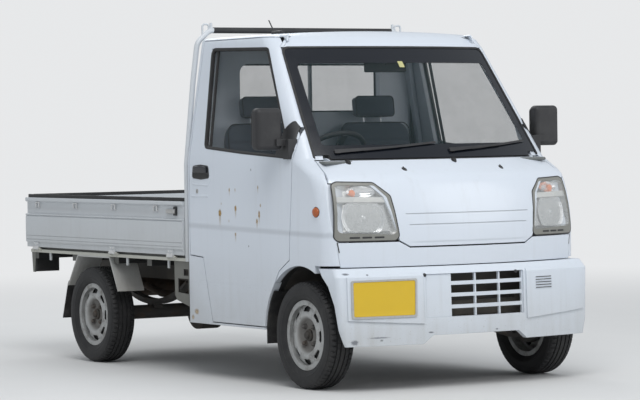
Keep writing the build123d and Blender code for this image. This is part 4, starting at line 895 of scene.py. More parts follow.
@dataclass(frozen=True)
class Skin:
    """A stretch of outer surface as a function of two coordinates in millimetres, giving metres."""

    form: Callable[[np.ndarray, np.ndarray], np.ndarray]
    outward: Point

    def normal(self, a: np.ndarray, b: np.ndarray) -> np.ndarray:
        """Unit normal, as the cross product of the surface's two slopes, turned to point outwards."""
        e = 0.5
        da = self.form(a + e, b) - self.form(a - e, b)
        db = self.form(a, b + e) - self.form(a, b - e)
        n = unit(np.cross(da, db))
        return n * np.sign(np.sum(n * np.asarray(self.outward, float), -1, keepdims=True))

    def at(self, points: np.ndarray, lift: np.ndarray) -> np.ndarray:
        """Points of the surface, moved out along the normal by a lift in millimetres."""
        a, b = points[..., 0], points[..., 1]
        return self.form(a, b) + self.normal(a, b) * lift[..., None] * MM

    def band(
        self, corners: Outline, profile: Outline, radius: float = 0.0, closed: bool = True, step: float = 30.0,
    ) -> Shape:
        """A strip that follows the skin: the profile's first coordinate lies across the line, its second is the lift.

        Args:
            corners: The line's corners on the skin.
            profile: Closed section in millimetres.
            radius: Radius of the line's corners.
            closed: Whether the line is a loop.
            step: Longest step along it.

        Returns:
            The strip.
        """
        line = fillet_path(corners, radius, closed, step)
        along = tangents(line, closed)
        across = np.stack((along[:, 1], -along[:, 0]), -1)
        section = np.asarray(profile, float)
        flat = line[:, None] + across[:, None] * section[None, :, :1]
        lift = np.broadcast_to(section[None, :, 1], flat.shape[:2])
        return Shape.grid(self.at(flat, lift), closed, caps=not closed)

    def bead(self, corners: Outline, profile: Outline, radius: float = 0.0, step: float = 30.0) -> Shape:
        """A strip along an open line, as band() makes it."""
        return self.band(corners, profile, radius, False, step)

    def ring(
        self, outer: Outline, inner: Outline, radii: tuple[float, float], lifts: tuple[float, float], runs: int = 8,
    ) -> Shape:
        """A flat frame between two outlines that have as many corners, from one lift to another."""
        loops = [fillet_path(c, r, True, 0.0, runs) for c, r in zip((outer, inner), radii)]
        shares = np.linspace(0.0, 1.0, 5)
        rows = [(share, lifts[1]) for share in shares] + [(share, lifts[0]) for share in shares[::-1]]
        grid = np.stack([
            self.at(loops[0] * (1 - share) + loops[1] * share, np.full(len(loops[0]), lift)) for share, lift in rows
        ])
        return Shape.grid(grid, True)

    def dome(
        self, centre: tuple[float, float], halves: tuple[float, float], base: float, rise: float, clip: float = 1.0,
        round_top: bool = False, open_base: bool = False, rings: int = 9, sides: int = 44,
    ) -> Shape:
        """A dome or, where the rise is negative, a bowl on the skin.

        The point at a share s of the radius and an angle t lies s cos t and s sin t half sizes from the centre, at
        the base plus the rise times 1 - s squared, or times its root where the top is round.

        Args:
            centre: Middle in the skin's coordinates.
            halves: Half sizes along them.
            base: Lift of the edge.
            rise: How far the middle stands above the edge.
            clip: Share of the second half size at which the form is cut straight.
            round_top: Whether it is part of a ball instead of a paraboloid.
            open_base: Whether the edge stays open.
            rings: Rings between edge and middle.
            sides: Points round it.

        Returns:
            The dome.
        """
        s = np.cos(np.linspace(0, math.pi / 2, rings + 1))[:, None]
        t = angles(sides)[None]
        share = np.maximum(s, SMALLEST_SHARE)
        across = centre[0] + share * np.cos(t) * halves[0]
        up = centre[1] + np.clip(share * np.sin(t), -clip, clip) * halves[1]
        height = 1 - s**2
        lift = base + rise * (np.sqrt(height) if round_top else height) * np.ones_like(t)
        shape = Shape.grid(self.at(np.stack((across, up), -1), lift))
        if not open_base:
            shape.faces.append(tuple(range(sides)))
        return shape

    def pad(
        self, corners: Outline, radius: float, rings: Outline, step: float = 20.0, open_first: bool = False,
    ) -> Shape:
        """A plate on the skin inside an outline, or a recess where its first ring stays open.

        Each ring is the outline drawn in by a distance towards its middle, at a lift, and the last ring is closed
        with a fan of ever smaller ones.

        Args:
            corners: The outline's corners on the skin.
            radius: Radius of these corners.
            rings: Distance drawn in and lift of each ring.
            step: Longest step along the outline.
            open_first: Whether the first ring stays open.

        Returns:
            The plate.
        """
        line = fillet_path(corners, radius, True, step)
        middle = (line.max(0) + line.min(0)) / 2
        reach = np.abs(line - middle).max(0)
        scales = [(1 - inset / reach, lift) for inset, lift in rings]
        last_scale, last_lift = scales[-1]
        scales += [(last_scale * share, last_lift) for share in FAN_SHARES]
        flat = np.stack([middle + (line - middle) * scale for scale, _ in scales])
        lift = np.stack([np.full(len(line), value) for _, value in scales])
        shape = Shape.grid(self.at(flat, lift), caps=True)
        if open_first:
            shape.faces.remove(tuple(range(len(line))))
        return shape


@dataclass(frozen=True)
class Loft:
    """An outer form as the part's source lofts it, between sections of five sizes each: height, nose ahead of the
    axle, bow radius, half width and corner radius."""

    table: tuple[tuple[float, ...], ...]
    tuck: float = 0.0

    def _at(self, z: np.ndarray) -> list[np.ndarray]:
        """Nose, bow radius, half width and corner radius at each height, between the sections' values."""
        sections = np.asarray(self.table)
        return [np.interp(z, sections[:, 0], sections[:, k]) for k in range(1, 5)]

    def nose(self, y: np.ndarray, z: np.ndarray) -> np.ndarray:
        """Point of the front by distance to the left and height: on the bow's arc, then on the corner's."""
        nose, bow, half, corner = self._at(z)
        bow_x = nose - bow
        corner_y = half - corner
        corner_x = bow_x + np.sqrt((bow - corner) ** 2 - corner_y**2)
        far = np.abs(y)
        on_bow = bow_x + np.sqrt(bow**2 - np.minimum(far, half) ** 2)
        on_corner = corner_x + np.sqrt(np.maximum(corner**2 - (far - corner_y) ** 2, 0.0))
        x = np.where(far <= bow * corner_y / (bow - corner), on_bow, on_corner)
        return metres(np.stack((x, y, z), -1))

    def flank(self, side: Side) -> Callable[[np.ndarray, np.ndarray], np.ndarray]:
        """Function for the side's point by distance ahead of the axle and height: flat, then the corner's arc."""

        def form(x: np.ndarray, z: np.ndarray) -> np.ndarray:
            """Point of the side."""
            nose, bow, half, corner = self._at(z)
            corner_y = half - corner
            corner_x = nose - bow + np.sqrt((bow - corner) ** 2 - corner_y**2)
            past = np.maximum(x - corner_x, 0.0)
            y = corner_y + np.sqrt(np.maximum(corner**2 - past**2, 0.0))
            y = y - self.tuck * np.clip((TUCK_TOP - z) / TUCK_HEIGHT, 0.0, 1.0)
            return metres(np.stack((x, side.value * y, z), -1))

        return form

    def front_skin(self) -> Skin:
        """The front as a skin over distance to the left and height."""
        return Skin(self.nose, (1, 0, 0.2))

    def side_skin(self, side: Side) -> Skin:
        """One side as a skin over distance ahead of the axle and height."""
        return Skin(self.flank(side), (0.0, side.value, 0.0))


CAB = Loft(
    (
        (272.0, 392.0, 1832.0, 737.5, 105.0), (760.0, 400.0, 1840.0, 737.5, 105.0),
        (850.0, 389.6, 1829.6, 737.5, 105.0), (920.0, 371.7, 1811.7, 737.5, 105.0),
        (980.0, 348.7, 1788.7, 737.5, 105.0), (1012.0, 330.6, 1770.6, 737.5, 105.0),
        (1035.0, 302.5, 1742.5, 737.5, 105.0), (1100.0, 185.0, 1625.0, 737.5, 105.0),
        (1658.0, -264.0, 1808.0, 649.5, 85.0), (1700.0, -310.0, 1815.0, 642.8, 84.0),
        (1716.0, -340.0, 1820.0, 635.0, 80.0), (1730.0, -385.0, 1826.0, 612.0, 70.0),
        (1760.0, -480.0, 1850.0, 550.0, 60.0),
    ),
    7.0,
)
BUMPER = Loft((
    (221.0, 436.0, 2897.0, 708.0, 30.0), (300.0, 440.0, 2897.0, 724.0, 30.0), (548.0, 432.0, 2897.0, 737.5, 30.0),
    (588.0, 404.0, 2600.0, 729.0, 34.0),
))


def upright_skin(x: float) -> Skin:
    """A flat skin that faces the rear, at a distance ahead of the axle, over distance to the left and height."""
    return Skin(lambda y, z: metres(np.stack((np.full(y.shape, x), y, z), -1)), (-1, 0.0, 0.0))


def long_skin(y: float, facing: int) -> Skin:
    """A flat skin along the truck at a distance to the left, over distance ahead of the axle and height."""
    return Skin(lambda x, z: metres(np.stack((x, np.full(x.shape, y), z), -1)), (0.0, facing, 0.0))


@dataclass
class Bench:
    """Where pieces are put together: it makes the objects and keeps the count."""

    palette: Palette
    nodes: dict[str, bpy.types.Object]
    count: int = 0

    def piece(
        self, name: str, shape: Shape, finish: str, slot: str | None = "black_trim", body: str = "truck",
        replaces: Sequence[str] = (), smooth: float = 35.0,
    ) -> bpy.types.Object:
        """Makes one finished piece.

        Args:
            name: The piece's name.
            shape: Its surface.
            finish: Name of its finish in the palette.
            slot: The record's material slot that it takes its finish from, if any; not used.
            body: The CAD body that it moves with.
            replaces: CAD nodes that it stands for.
            smooth: Angle in degrees below which edges are shaded smooth.

        Returns:
            The object.
        """
        mesh = bpy.data.meshes.new(name)
        mesh.from_pydata(shape.points.tolist(), [], shape.faces)
        mesh.validate()
        obj = bpy.data.objects.new(name, mesh)
        bpy.context.scene.collection.objects.link(obj)
        outward(mesh)
        mesh.shade_smooth()
        mesh.set_sharp_from_angle(angle=math.radians(smooth))
        mesh.materials.append(self.palette[finish])
        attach(obj, body)
        if replaces:
            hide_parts(*replaces)
        self.count += 1
        LOG.info("%s: %d faces on %s", name, len(mesh.polygons), body)
        return obj


def outward(mesh: bpy.types.Mesh) -> None:
    """Merges doubled vertices and turns every face outwards."""
    work = bmesh.new()
    work.from_mesh(mesh)
    bmesh.ops.remove_doubles(work, verts=work.verts, dist=1e-6)
    bmesh.ops.recalc_face_normals(work, faces=work.faces)
    work.to_mesh(mesh)
    work.free()


def soften_group() -> bpy.types.GeometryNodeTree:
    """A modifier's nodes for CAD nodes: loose triangles are welded, and only edges over 28 degrees stay sharp."""
    tree = bpy.data.node_groups.new("soften", "GeometryNodeTree")
    for way in ("INPUT", "OUTPUT"):
        tree.interface.new_socket("Geometry", in_out=way, socket_type="NodeSocketGeometry")
    start, stop, weld, faces, edges, angle, wide = (
        tree.nodes.new(kind) for kind in (
            "NodeGroupInput", "NodeGroupOutput", "GeometryNodeMergeByDistance", "GeometryNodeSetShadeSmooth",
            "GeometryNodeSetShadeSmooth", "GeometryNodeInputMeshEdgeAngle", "FunctionNodeCompare",
        )
    )
    weld.inputs["Distance"].default_value = WELD_DISTANCE
    faces.domain = "FACE"
    edges.domain = "EDGE"
    edges.inputs["Shade Smooth"].default_value = False
    wide.data_type, wide.operation = "FLOAT", "GREATER_THAN"
    wide.inputs[1].default_value = math.radians(SHARP_FROM)
    link = tree.links.new
    link(start.outputs[0], weld.inputs[0])
    link(weld.outputs[0], faces.inputs[0])
    link(faces.outputs[0], edges.inputs[0])
    link(angle.outputs["Unsigned Angle"], wide.inputs[0])
    link(wide.outputs[0], edges.inputs["Selection"])
    link(edges.outputs[0], stop.inputs[0])
    return tree


NODE_FINISH = {
    node: finish for finish, nodes in {
        "side_white_right": ("cab_side_right",),
        "side_white_left": ("cab_side_left", "door_left"),
        "cab_white": ("cab_back", "cab_roof", "front_apron"),
        "bonnet_white": ("bonnet",),
        "door_white_right": ("door_right",),
        "bumper_white": ("front_bumper", "grille"),
        "chassis_black": ("cab_floor", "chassis_frame", "fuel_tank"),
        "trim_black": ("cowl", "mirror_right", "mirror_left", "wipers", "steering_wheel", "tail_lamps"),
        "lamp_bezel": ("headlamps",),
        "cast_iron": ("radiator", "drivetrain", "rear_axle", "front_suspension", "knuckle_right", "knuckle_left"),
        "window_glass": ("windscreen", "rear_window", "door_glass_right", "door_glass_left"),
        "facia_grey": ("facia",),
        "seat_cloth": ("seat_cushions", "seat_backs"),
        "rust_brown": ("exhaust",),
        "sill_white": ("bed_subframe",),
        "bed_white": ("bed_deck", "guard_frame", "tailgate"),
        "gate_white_right": ("gate_right",),
        "gate_white_left": ("gate_left",),
        "sheet_grey": ("mudguards",),
        "flap_black": ("mud_flaps",),
    }.items() for node in nodes
}


def dress_nodes(bench: Bench) -> None:
    """Gives every CAD node its finish and smooth shading."""
    tree = soften_group()
    for name, obj in bench.nodes.items():
        finish = NODE_FINISH.get(name, "wheel_silver" if name.startswith("rim_") else "tyre_black")
        obj.data.materials.clear()
        obj.data.materials.append(bench.palette[finish])
        obj.modifiers.new("soften", "NODES").node_group = tree
        LOG.info("%s: %s", name, finish)


@dataclass
class Studio:
    """Floor, light and the camera at the photograph's viewpoint."""

    eye: tuple[float, float, float] = (12.9875, -7.933, 1.243)
    yaw: float = 31.97
    pitch: float = -1.39
    roll: float = -0.84
    lens: float = 161.35
    shift: float = 0.0006
    sight: float = 200.0
    floor_reach: float = 90.0
    fade: tuple[float, float] = (3.0, 11.0)
    aim: tuple[float, float, float] = (0, 0, 0.8)
    sky: Color = (0.90, 0.95, 1.0)
    sky_strength: float = 0.55

    def camera(self) -> None:
        """Places the camera: its axis comes from yaw and pitch, and its up vector is turned by the roll."""
        yaw, pitch, roll = (math.radians(a) for a in (self.yaw, self.pitch, self.roll))
        look = Vector((-math.cos(yaw) * math.cos(pitch), math.sin(yaw) * math.cos(pitch), math.sin(pitch)))
        right = look.cross(Vector((0, 0, 1))).normalized()
        up = right.cross(look)
        r2 = right * math.cos(roll) + up * math.sin(roll)
        u2 = up * math.cos(roll) - right * math.sin(roll)
        data = bpy.data.cameras.new("camera")
        data.lens, data.shift_y, data.clip_end = self.lens, self.shift, self.sight
        camera = bpy.data.objects.new("camera", data)
        camera.matrix_world = Matrix.Translation(self.eye) @ Matrix((r2, u2, -look)).transposed().to_4x4()
        bpy.context.scene.collection.objects.link(camera)
        bpy.context.scene.camera = camera

    def lamp(self, name: str, place: tuple[float, float, float], size: float, watts: float) -> None:
        """Adds one large soft lamp that faces the truck's middle."""
        data = bpy.data.lights.new(name, "AREA")
        data.shape, data.size, data.energy = "DISK", size, watts
        lamp = bpy.data.objects.new(name, data)
        lamp.location = place
        lamp.rotation_euler = (Vector(self.aim) - Vector(place)).to_track_quat("-Z", "Y").to_euler()
        bpy.context.scene.collection.objects.link(lamp)

    def floor(self) -> None:
        """Adds the plain pale floor, which fades into the background away from the truck."""
        mesh = bpy.data.meshes.new("floor")
        r = self.floor_reach
        mesh.from_pydata([(-r, -r, 0), (r, -r, 0), (r, r, 0), (-r, r, 0)], [], [(0, 1, 2, 3)])
        floor = bpy.data.objects.new("floor", mesh)
        g = Graph("floor_pale")
        vector, x, y, _ = g.place()
        tone = g.blend(g.noise(vector, 1.5, 3.0), (0.66, 0.66, 0.655), (0.69, 0.69, 0.685))
        far = (x * x + y * y).root().step(*self.fade)
        rays = [g.node("ShaderNodeLightPath", output=name) for name in SEEN_RAYS]
        glow = g.node("ShaderNodeEmission", {}, {"Color": PALE, "Strength": 1.0})
        mixed = g.node("ShaderNodeMixShader", {}, {0: far * (rays[0] + rays[1] + rays[2]).least(1.0)})
        g.tree.links.new(g.shader.outputs[0], mixed.socket.node.inputs[1])
        g.tree.links.new(glow.socket, mixed.socket.node.inputs[2])
        g.tree.links.new(mixed.socket, g.output.inputs["Surface"])
        mesh.materials.append(g.finish(Base_Color=tone, Roughness=0.85))
        bpy.context.scene.collection.objects.link(floor)

    def world(self) -> None:
        """A pale sky that lights evenly and shows as plain pale grey."""
        world = bpy.data.worlds.new("sky")
        bpy.context.scene.world = world
        world.use_nodes = True
        tree = world.node_tree
        tree.nodes.clear()
        light, seen = tree.nodes.new("ShaderNodeBackground"), tree.nodes.new("ShaderNodeBackground")
        light.inputs[0].default_value, light.inputs[1].default_value = (*self.sky, 1.0), self.sky_strength
        seen.inputs[0].default_value, seen.inputs[1].default_value = (*PALE, 1.0), 1.0
        ray, mix = tree.nodes.new("ShaderNodeLightPath"), tree.nodes.new("ShaderNodeMixShader")
        output = tree.nodes.new("ShaderNodeOutputWorld")
        tree.links.new(ray.outputs["Is Camera Ray"], mix.inputs[0])
        tree.links.new(light.outputs[0], mix.inputs[1])
        tree.links.new(seen.outputs[0], mix.inputs[2])
        tree.links.new(mix.outputs[0], output.inputs[0])

    def build(self) -> None:
        """Sets up the whole studio."""
        bpy.context.scene.view_settings.view_transform = "Standard"
        self.camera()
        self.floor()
        self.world()
        self.lamp("key", (6.0, -3.0, 8.0), 6.0, 460.0)
        self.lamp("fill", (7.0, 4.5, 4.0), 5.0, 120.0)
        self.lamp("back", (-6.0, 1.0, 6.5), 6.0, 200.0)


# Pieces


@dataclass
class Piecework:
    """A sub-assembly's pieces, made on a bench."""

    bench: Bench

    def build(self) -> None:
        """Makes the pieces."""
        raise NotImplementedError


@dataclass
class Glazing(Piecework):
    """Windscreen border and seals, the door windows' seals with their sail panels, and the rear window's seal."""

    border: tuple[Outline, Outline] = (
        ((586.0, 1108.0), (590.0, 1127.0), (659.5, 1127.0), (592.0, 1654.0)),
        ((540.0, 1173.0), (575.0, 1173.0), (602.0, 1173.0), (556.0, 1578.0)),
    )
    screen: Outline = ((-662.0, 1112.0), (-594.5, 1656.0), (594.5, 1656.0), (662.0, 1112.0))
    screen_section: Outline = ((-6.0, -4.5), (-5.0, 0.6), (0.0, 1.4), (4.5, 0.6), (5.5, -4.5))
    window: Outline = ((-912.0, 1165.0), (-541.0, 1138.0), (-66.0, 1112.0), (-412.0, 1655.0), (-957.0, 1668.0))
    window_section: Outline = ((5.0, -2.0), (3.5, 1.6), (-4.0, 2.3), (-11.0, -2.0), (-12.0, -15.4), (-1.0, -15.4))
    run: Outline = ((-868.0, 1160.0), (-905.0, 1662.0))
    run_section: Outline = ((-7, -15), (-6, -5), (6, -5), (7, -15))
    gutter: Outline = ((-392.0, 1702.0), (-408.0, 1715.5), (-1056.0, 1715.5))
    gutter_section: Outline = ((-4.5, -4), (-3, 1.2), (3, 1.2), (4.5, -4))
    gutter_end: Outline = ((-366, 1684), (-372, 1724), (-436, 1724), (-430, 1709.5), (-399, 1709.5))
    seam: Outline = ((265.5, 711.0), (269.5, 652.0), (268.0, 601.0))
    seam_section: Outline = ((-1.7, -1.5), (-1.3, 0.5), (1.3, 0.5), (1.7, -1.5))
    sail: Outline = (
        (-60.0, 1110.0), (-52.0, 1150.0), (-83.0, 1262.0), (-118.0, 1296.0), (-160.0, 1240.0), (-215.0, 1121.0),
    )
    rear_x: float = -1100.0
    rear_section: Outline = ((-12, -3), (-10, 3.5), (0, 5), (8, 3), (10, -0.5))

    def build(self) -> None:
        """Makes the black border as a frame on the glass, and each seal as a strip along its edge."""
        piece, front = self.bench.piece, CAB.front_skin()
        outer, inner = ([*flipped(half), *half] for half in self.border)
        frit = front.ring(outer[::-1], inner[::-1], (5.0, 26.0), (-3.7, -2.4), 12)
        piece("windscreen_border", frit, "trim_glossy_black")
        piece("windscreen_seal", front.bead(self.screen, self.screen_section, 34.0), "seal_black")
        sticker = front.pad(oblong(-17.0, 13.0, 1555.0, 1586.0), 3.0, [(0, -3.9), (0.4, -2.0)])
        piece("windscreen_sticker_blank", sticker, "sticker_pale")
        for side in Side:
            skin, label = CAB.side_skin(side), side.label
            strip = skin.band(self.window, self.window_section, 30.0)
            piece(f"window_seal_{label}", strip, "seal_black", body=side.door)
            piece(f"window_run_{label}", skin.bead(self.run, self.run_section), "seal_black", body=side.door)
            gutter = skin.bead(self.gutter, self.gutter_section, 6.0)
            corner = skin.pad(self.gutter_end, 3.0, [(0, -7), (0, 0.5), (1.5, 1.0)], 8.0)
            piece(f"roof_gutter_{label}", gutter + corner, "cab_white", "body_paint")
            piece(f"apron_seam_{label}", skin.bead(self.seam, self.seam_section, step=8.0), "seal_black")
            sail = skin.pad(self.sail, 9.0, [(0, -14.5), (0, 1.2), (2.5, 2.6)])
            piece(f"mirror_sail_{label}", sail, "trim_black", body=side.door)
        pane = oblong(-434.0, 434.0, 1337.0, 1598.0)
        piece("rear_window_seal", upright_skin(self.rear_x).band(pane, self.rear_section, 50.0), "seal_black")


@dataclass
class Headlamps(Piecework):
    """Each headlamp in layers: bezel, silver bowl, ledge, round reflector and lens, turn lamp, slots and cover."""

    outline: Outline = (
        (700.0, 717.0), (682.0, 988.0), (655.0, 998.0), (487.0, 992.0), (418.0, 930.0), (390.0, 717.0),
    )
    rim: Outline = (
        (684.0, 757.0), (668.0, 976.0), (650.0, 982.0), (486.0, 979.0), (436.0, 922.0), (400.0, 744.0),
    )
    gasket_section: Outline = ((-1.5, -3), (-1.5, 1.2), (3.2, 1.2), (3.2, -3))
    field: Outline = ((656.0, 763.0), (646.0, 900.0), (447.0, 896.0), (426.0, 757.0))
    ledge: Outline = ((678.0, 932.0), (672.0, 903.0), (426.0, 899.0), (434.0, 926.0))
    lens_at: tuple[float, float] = (557.0, 829.0)
    lens_clip: float = 0.72
    turn_at: tuple[float, float] = (553.0, 952.0)
    bulb_at: tuple[float, float] = (591.0, 953.0)
    slots: Outline = ((583.0, 631.0), (526.0, 572.0), (467.0, 514.0))

    def put(
        self, name: str, shape: Shape, finish: str, slot: str = "lamp", replaces: Sequence[str] = (),
    ) -> None:
        """Makes a piece of both lamps."""
        self.bench.piece(name, both_sides(shape), finish, slot, replaces=replaces)

    def build(self) -> None:
        """Makes the layers from the back to the clear cover, each on the cab's own front."""
        put, skin = self.put, CAB.front_skin()
        put("headlamp_gaskets", skin.band(self.outline, self.gasket_section, 26.0), "seal_black", "black_trim")
        shell = skin.ring(self.outline, self.rim, (26.0, 22.0), (-46.0, 0.6), 10)
        put("headlamp_bezels", shell, "lamp_bezel", replaces=("headlamps",))
        bowl = skin.pad(self.rim, 22.0, [(0, -1.0), (1.0, -20.0), (9.0, -40.0)], open_first=True)
        back = skin.pad(self.outline, 26.0, [(0, -46.0), (0.5, -42.0), (3.0, -41.0)])
        put("headlamp_bowls", bowl + back, "lamp_silver")
        put("headlamp_ledges", skin.pad(self.ledge, 4.0, [(0, -40.0), (0, -9.0), (3.0, -6.5)]), "lamp_ledge")
        field = skin.pad(self.field, 6.0, [(0, -40.0), (0, -27.0), (6.0, -21.0), (9.0, -21.0)])
        put("headlamp_fields", field, "lamp_silver")
        dish = skin.dome(self.lens_at, (101.0, 101.0), -14.0, -24.0, self.lens_clip, open_base=True)
        cap = skin.dome(self.lens_at, (19.0, 19.0), -36.0, 22.0, round_top=True)
        put("headlamp_reflectors", dish + cap, "chrome_bright")
        lens = skin.dome(self.lens_at, (99.0, 99.0), -14.0, 7.5, self.lens_clip, rings=6)
        put("headlamp_lenses", lens, "lens_fluted")
        put("turn_lamp_dishes", skin.dome(self.turn_at, (68.0, 26.0), -8.0, -22.0, open_base=True), "chrome_bright")
        put("turn_lamp_bulbs", skin.dome(self.bulb_at, (17.0, 17.0), -27.0, 16.0, round_top=True), "amber")
        # Painted shade: the bezel's slots are black strips that stand for the shade in their openings.
        dark = joined([
            skin.pad(
                [(b, 729.0), (b - 2.0, 737.5), (a - 2.0, 737.5), (a, 729.0)], 3.0,
                [(0, 0.2), (0, 1.1), (1.0, 1.3)],
            )
            for a, b in self.slots
        ])
        put("headlamp_slots", dark, "trim_black", "black_trim")
        put("headlamp_covers", skin.pad(self.rim, 22.0, [(0, -2.4), (0, -0.6), (4.0, 1.4)]), "lamp_glass", "glass")


@dataclass
class Nose(Piecework):
    """What stands on the bonnet and the screen: washer nozzles, wiper grommets and the wiper blades' spines."""

    nozzles: Outline = ((-285.0, 1053.0), (283.0, 1052.0))
    grommets: Outline = ((-526.0, 1088.0), (33.0, 1089.0))
    spines: tuple[Outline, Outline] = (((-400.0, 1147.0), (-60.0, 1177.0)), ((210.0, 1147.0), (555.0, 1177.0)))
    spine_section: Outline = ((-3.2, -2.0), (-2.4, 0.9), (0.0, 1.5), (2.4, 0.9), (3.2, -2.0))
    cup: tuple[float, float] = (12.0, 9.0)

    def build(self) -> None:
        """Makes each as a small dome on the bonnet, the nozzles with a jet, and a metal spine on each wiper blade."""
        piece, front = self.bench.piece, CAB.front_skin()
        caps = joined([front.dome(at, self.cup, -0.6, 7.0, rings=5, sides=20) for at in self.nozzles])
        jets = joined([
            front.dome((y, z + 5.0), (3.0, 3.0), 3.0, 5.0, round_top=True, rings=4, sides=10) for y, z in self.nozzles
        ])
        piece("washer_nozzles", caps + jets, "trim_black", body="bonnet_lid")
        cups = joined([
            front.dome(at, self.cup, -0.6, 15.0, round_top=True, rings=6, sides=24) for at in self.grommets
        ])
        piece("wiper_grommets", cups, "seal_black", body="bonnet_lid")
        spines = joined([front.bead(line, self.spine_section) for line in self.spines])
        piece("wiper_spines", spines, "wiper_grey")


@dataclass
class Doors(Piecework):
    """Door furniture: handle in its cup with a near-black pad of painted shade under it, pressed lips, lock with a
    slit of painted shade, and the side turn lamp on the wing.
    """

    cup: Outline = (
        (-1018.0, 1074.0), (-1026.0, 1011.0), (-939.0, 1004.0), (-851.0, 1011.0), (-860.0, 1074.0), (-939.0, 1081.0),
    )
    flap: Outline = ((-1008.0, 1069.0), (-1010.0, 1039.0), (-868.0, 1039.0), (-870.0, 1069.0), (-939.0, 1075.0))
    hand: Outline = ((-1012.0, 1033.0), (-1010.0, 1015.0), (-939.0, 1009.0), (-868.0, 1015.0), (-866.0, 1033.0))
    lips: tuple[Outline, Outline] = (
        ((-1034.0, 1004.0), (-1024.0, 981.0), (-868.0, 975.0), (-850.0, 1000.0)), ((-1034.0, 919.0), (-868.0, 921.0)),
    )
    lip_section: Outline = ((-8.0, -1.0), (-4.0, 1.6), (0.0, 2.4), (4.0, 1.2), (7.0, -1.0))
    lock_at: tuple[float, float] = (-977.0, 945.0)
    lock_out: float = 737.2
    lock: Outline = ((0.0, 0.0), (11.5, 0.0), (11.5, 2.2), (10.0, 3.0), (7.0, 3.0), (6.5, 2.2), (0.0, 2.2))
    marker_at: tuple[float, float] = (161.0, 856.0)

    def build(self) -> None:
        """Makes the furniture of both doors on their own skins."""
        piece = self.bench.piece
        for side in Side:
            skin, label, door = CAB.side_skin(side), side.label, side.door
            cup = skin.pad(self.cup, 16.0, [(0, -1), (0.6, 2.2), (5, 3.0), (8, 1.0)])
            flap = skin.pad(self.flap, 8.0, [(0, 0.5), (0.4, 6.5), (3, 8.6), (9, 9.2)])
            piece(f"door_handle_cup_{label}", cup, "trim_black", body=door)
            piece(f"door_handle_{label}", flap, "trim_glossy_black", body=door)
            # Painted shade: a near-black pad under the handle's flap stands for the shade where the hand goes.
            hand = skin.pad(self.hand, 7.0, [(0, 0.9), (0, 1.4), (1, 1.5)])
            piece(f"door_handle_shade_{label}", hand, "grille_dark", body=door)
            lips = joined([skin.bead(line, self.lip_section, 14.0, 12.0) for line in self.lips])
            piece(f"door_lips_{label}", lips, f"side_white_{label}", "body_paint", door)
            x, z = self.lock_at
            barrel = turned(self.lock, (x, side.value * self.lock_out, z), side.outward, 28)
            # Painted shade: a near-black slit stands for the lock's keyway.
            slit = skin.pad(oblong(x - 1, x + 1, z - 5, z + 5), 0.4, [(0, 1.5), (0, 2.6)])
            piece(f"door_lock_{label}", barrel, "steel_bare", body=door)
            piece(f"door_lock_slot_{label}", slit, "grille_dark", body=door)
            base = skin.dome(self.marker_at, (31.0, 28.0), -0.4, 2.6, rings=4)
            dome = skin.dome(self.marker_at, (26.5, 23.5), 0.6, 11.5, round_top=True)
            piece(f"side_turn_lamp_base_{label}", base, "trim_black")
            piece(f"side_turn_lamp_{label}", dome, "amber_dim", "lamp")


@dataclass
class BumperDress(Piecework):
    """What the front bumper carries: blank plate in its frame, grille blanks, louvres and bolts."""

    plate: Outline = ((-661.0, 362.0), (-352.0, 362.0), (-347.0, 527.0), (-661.0, 525.0))
    frame: Outline = ((-672.0, 352.0), (-342.0, 352.0), (-337.0, 536.0), (-672.0, 534.0))
    rows: Outline = ((552.0, 513.75), (495.75, 457.5), (439.5, 401.25), (383.25, 345.0))
    blank: tuple[float, float] = (-283, -150)
    louvre_span: tuple[float, float] = (463.0, 515.0)
    louvre_count: int = 5
    louvre: tuple[float, float] = (361, 466)
    lip_section: Outline = ((-1.6, 6.5), (-1, 8.6), (1, 8.6), (1.6, 6.5))
    bolts: Outline = ((-290.0, 549.0), (239.0, 547.0))

    def build(self) -> None:
        """Makes each piece on the bumper's own front."""
        piece, skin = self.bench.piece, BUMPER.front_skin()
        plate = skin.pad(self.plate, 9.0, [(0, 6.0), (0, 9.3), (1.5, 10.3), (5.0, 9.8)])
        piece("number_plate_front_blank", plate, "plate_yellow", None)
        ring = skin.ring(self.frame, self.plate, (10.0, 8.0), (6.5, 11.6))
        piece("number_plate_front_frame", ring, "steel_bare", "galvanised")
        blanks = joined([
            skin.pad(oblong(*self.blank, low, high - 6), 3.0, [(0, -30), (0, -20), (2, -19)])
            for high, low in self.rows
        ])
        piece("grille_blanks", blanks, "bumper_white", "body_paint")
        # Painted shade: each louvre slot is a black strip that stands for the shade in its opening, with a white lip
        # along its lower edge.
        heights = np.linspace(*self.louvre_span, self.louvre_count)
        louvres = joined([
            skin.pad(oblong(*self.louvre, z - 2, z + 2), 1.8, [(0, 6.4), (0, 7.5), (0.6, 7.7)]) for z in heights
        ])
        piece("bumper_louvres", louvres, "trim_black")
        left, right = self.louvre
        rims = joined([skin.bead([(left - 3, z - 4.4), (right + 3, z - 4.4)], self.lip_section) for z in heights])
        piece("bumper_louvre_lips", rims, "bumper_white", "body_paint")
        bolts = joined([skin.dome(at, (9.0, 9.0), 0.0, 9.0, rings=4, sides=12) for at in self.bolts])
        piece("bumper_bolts", bolts, "trim_black")


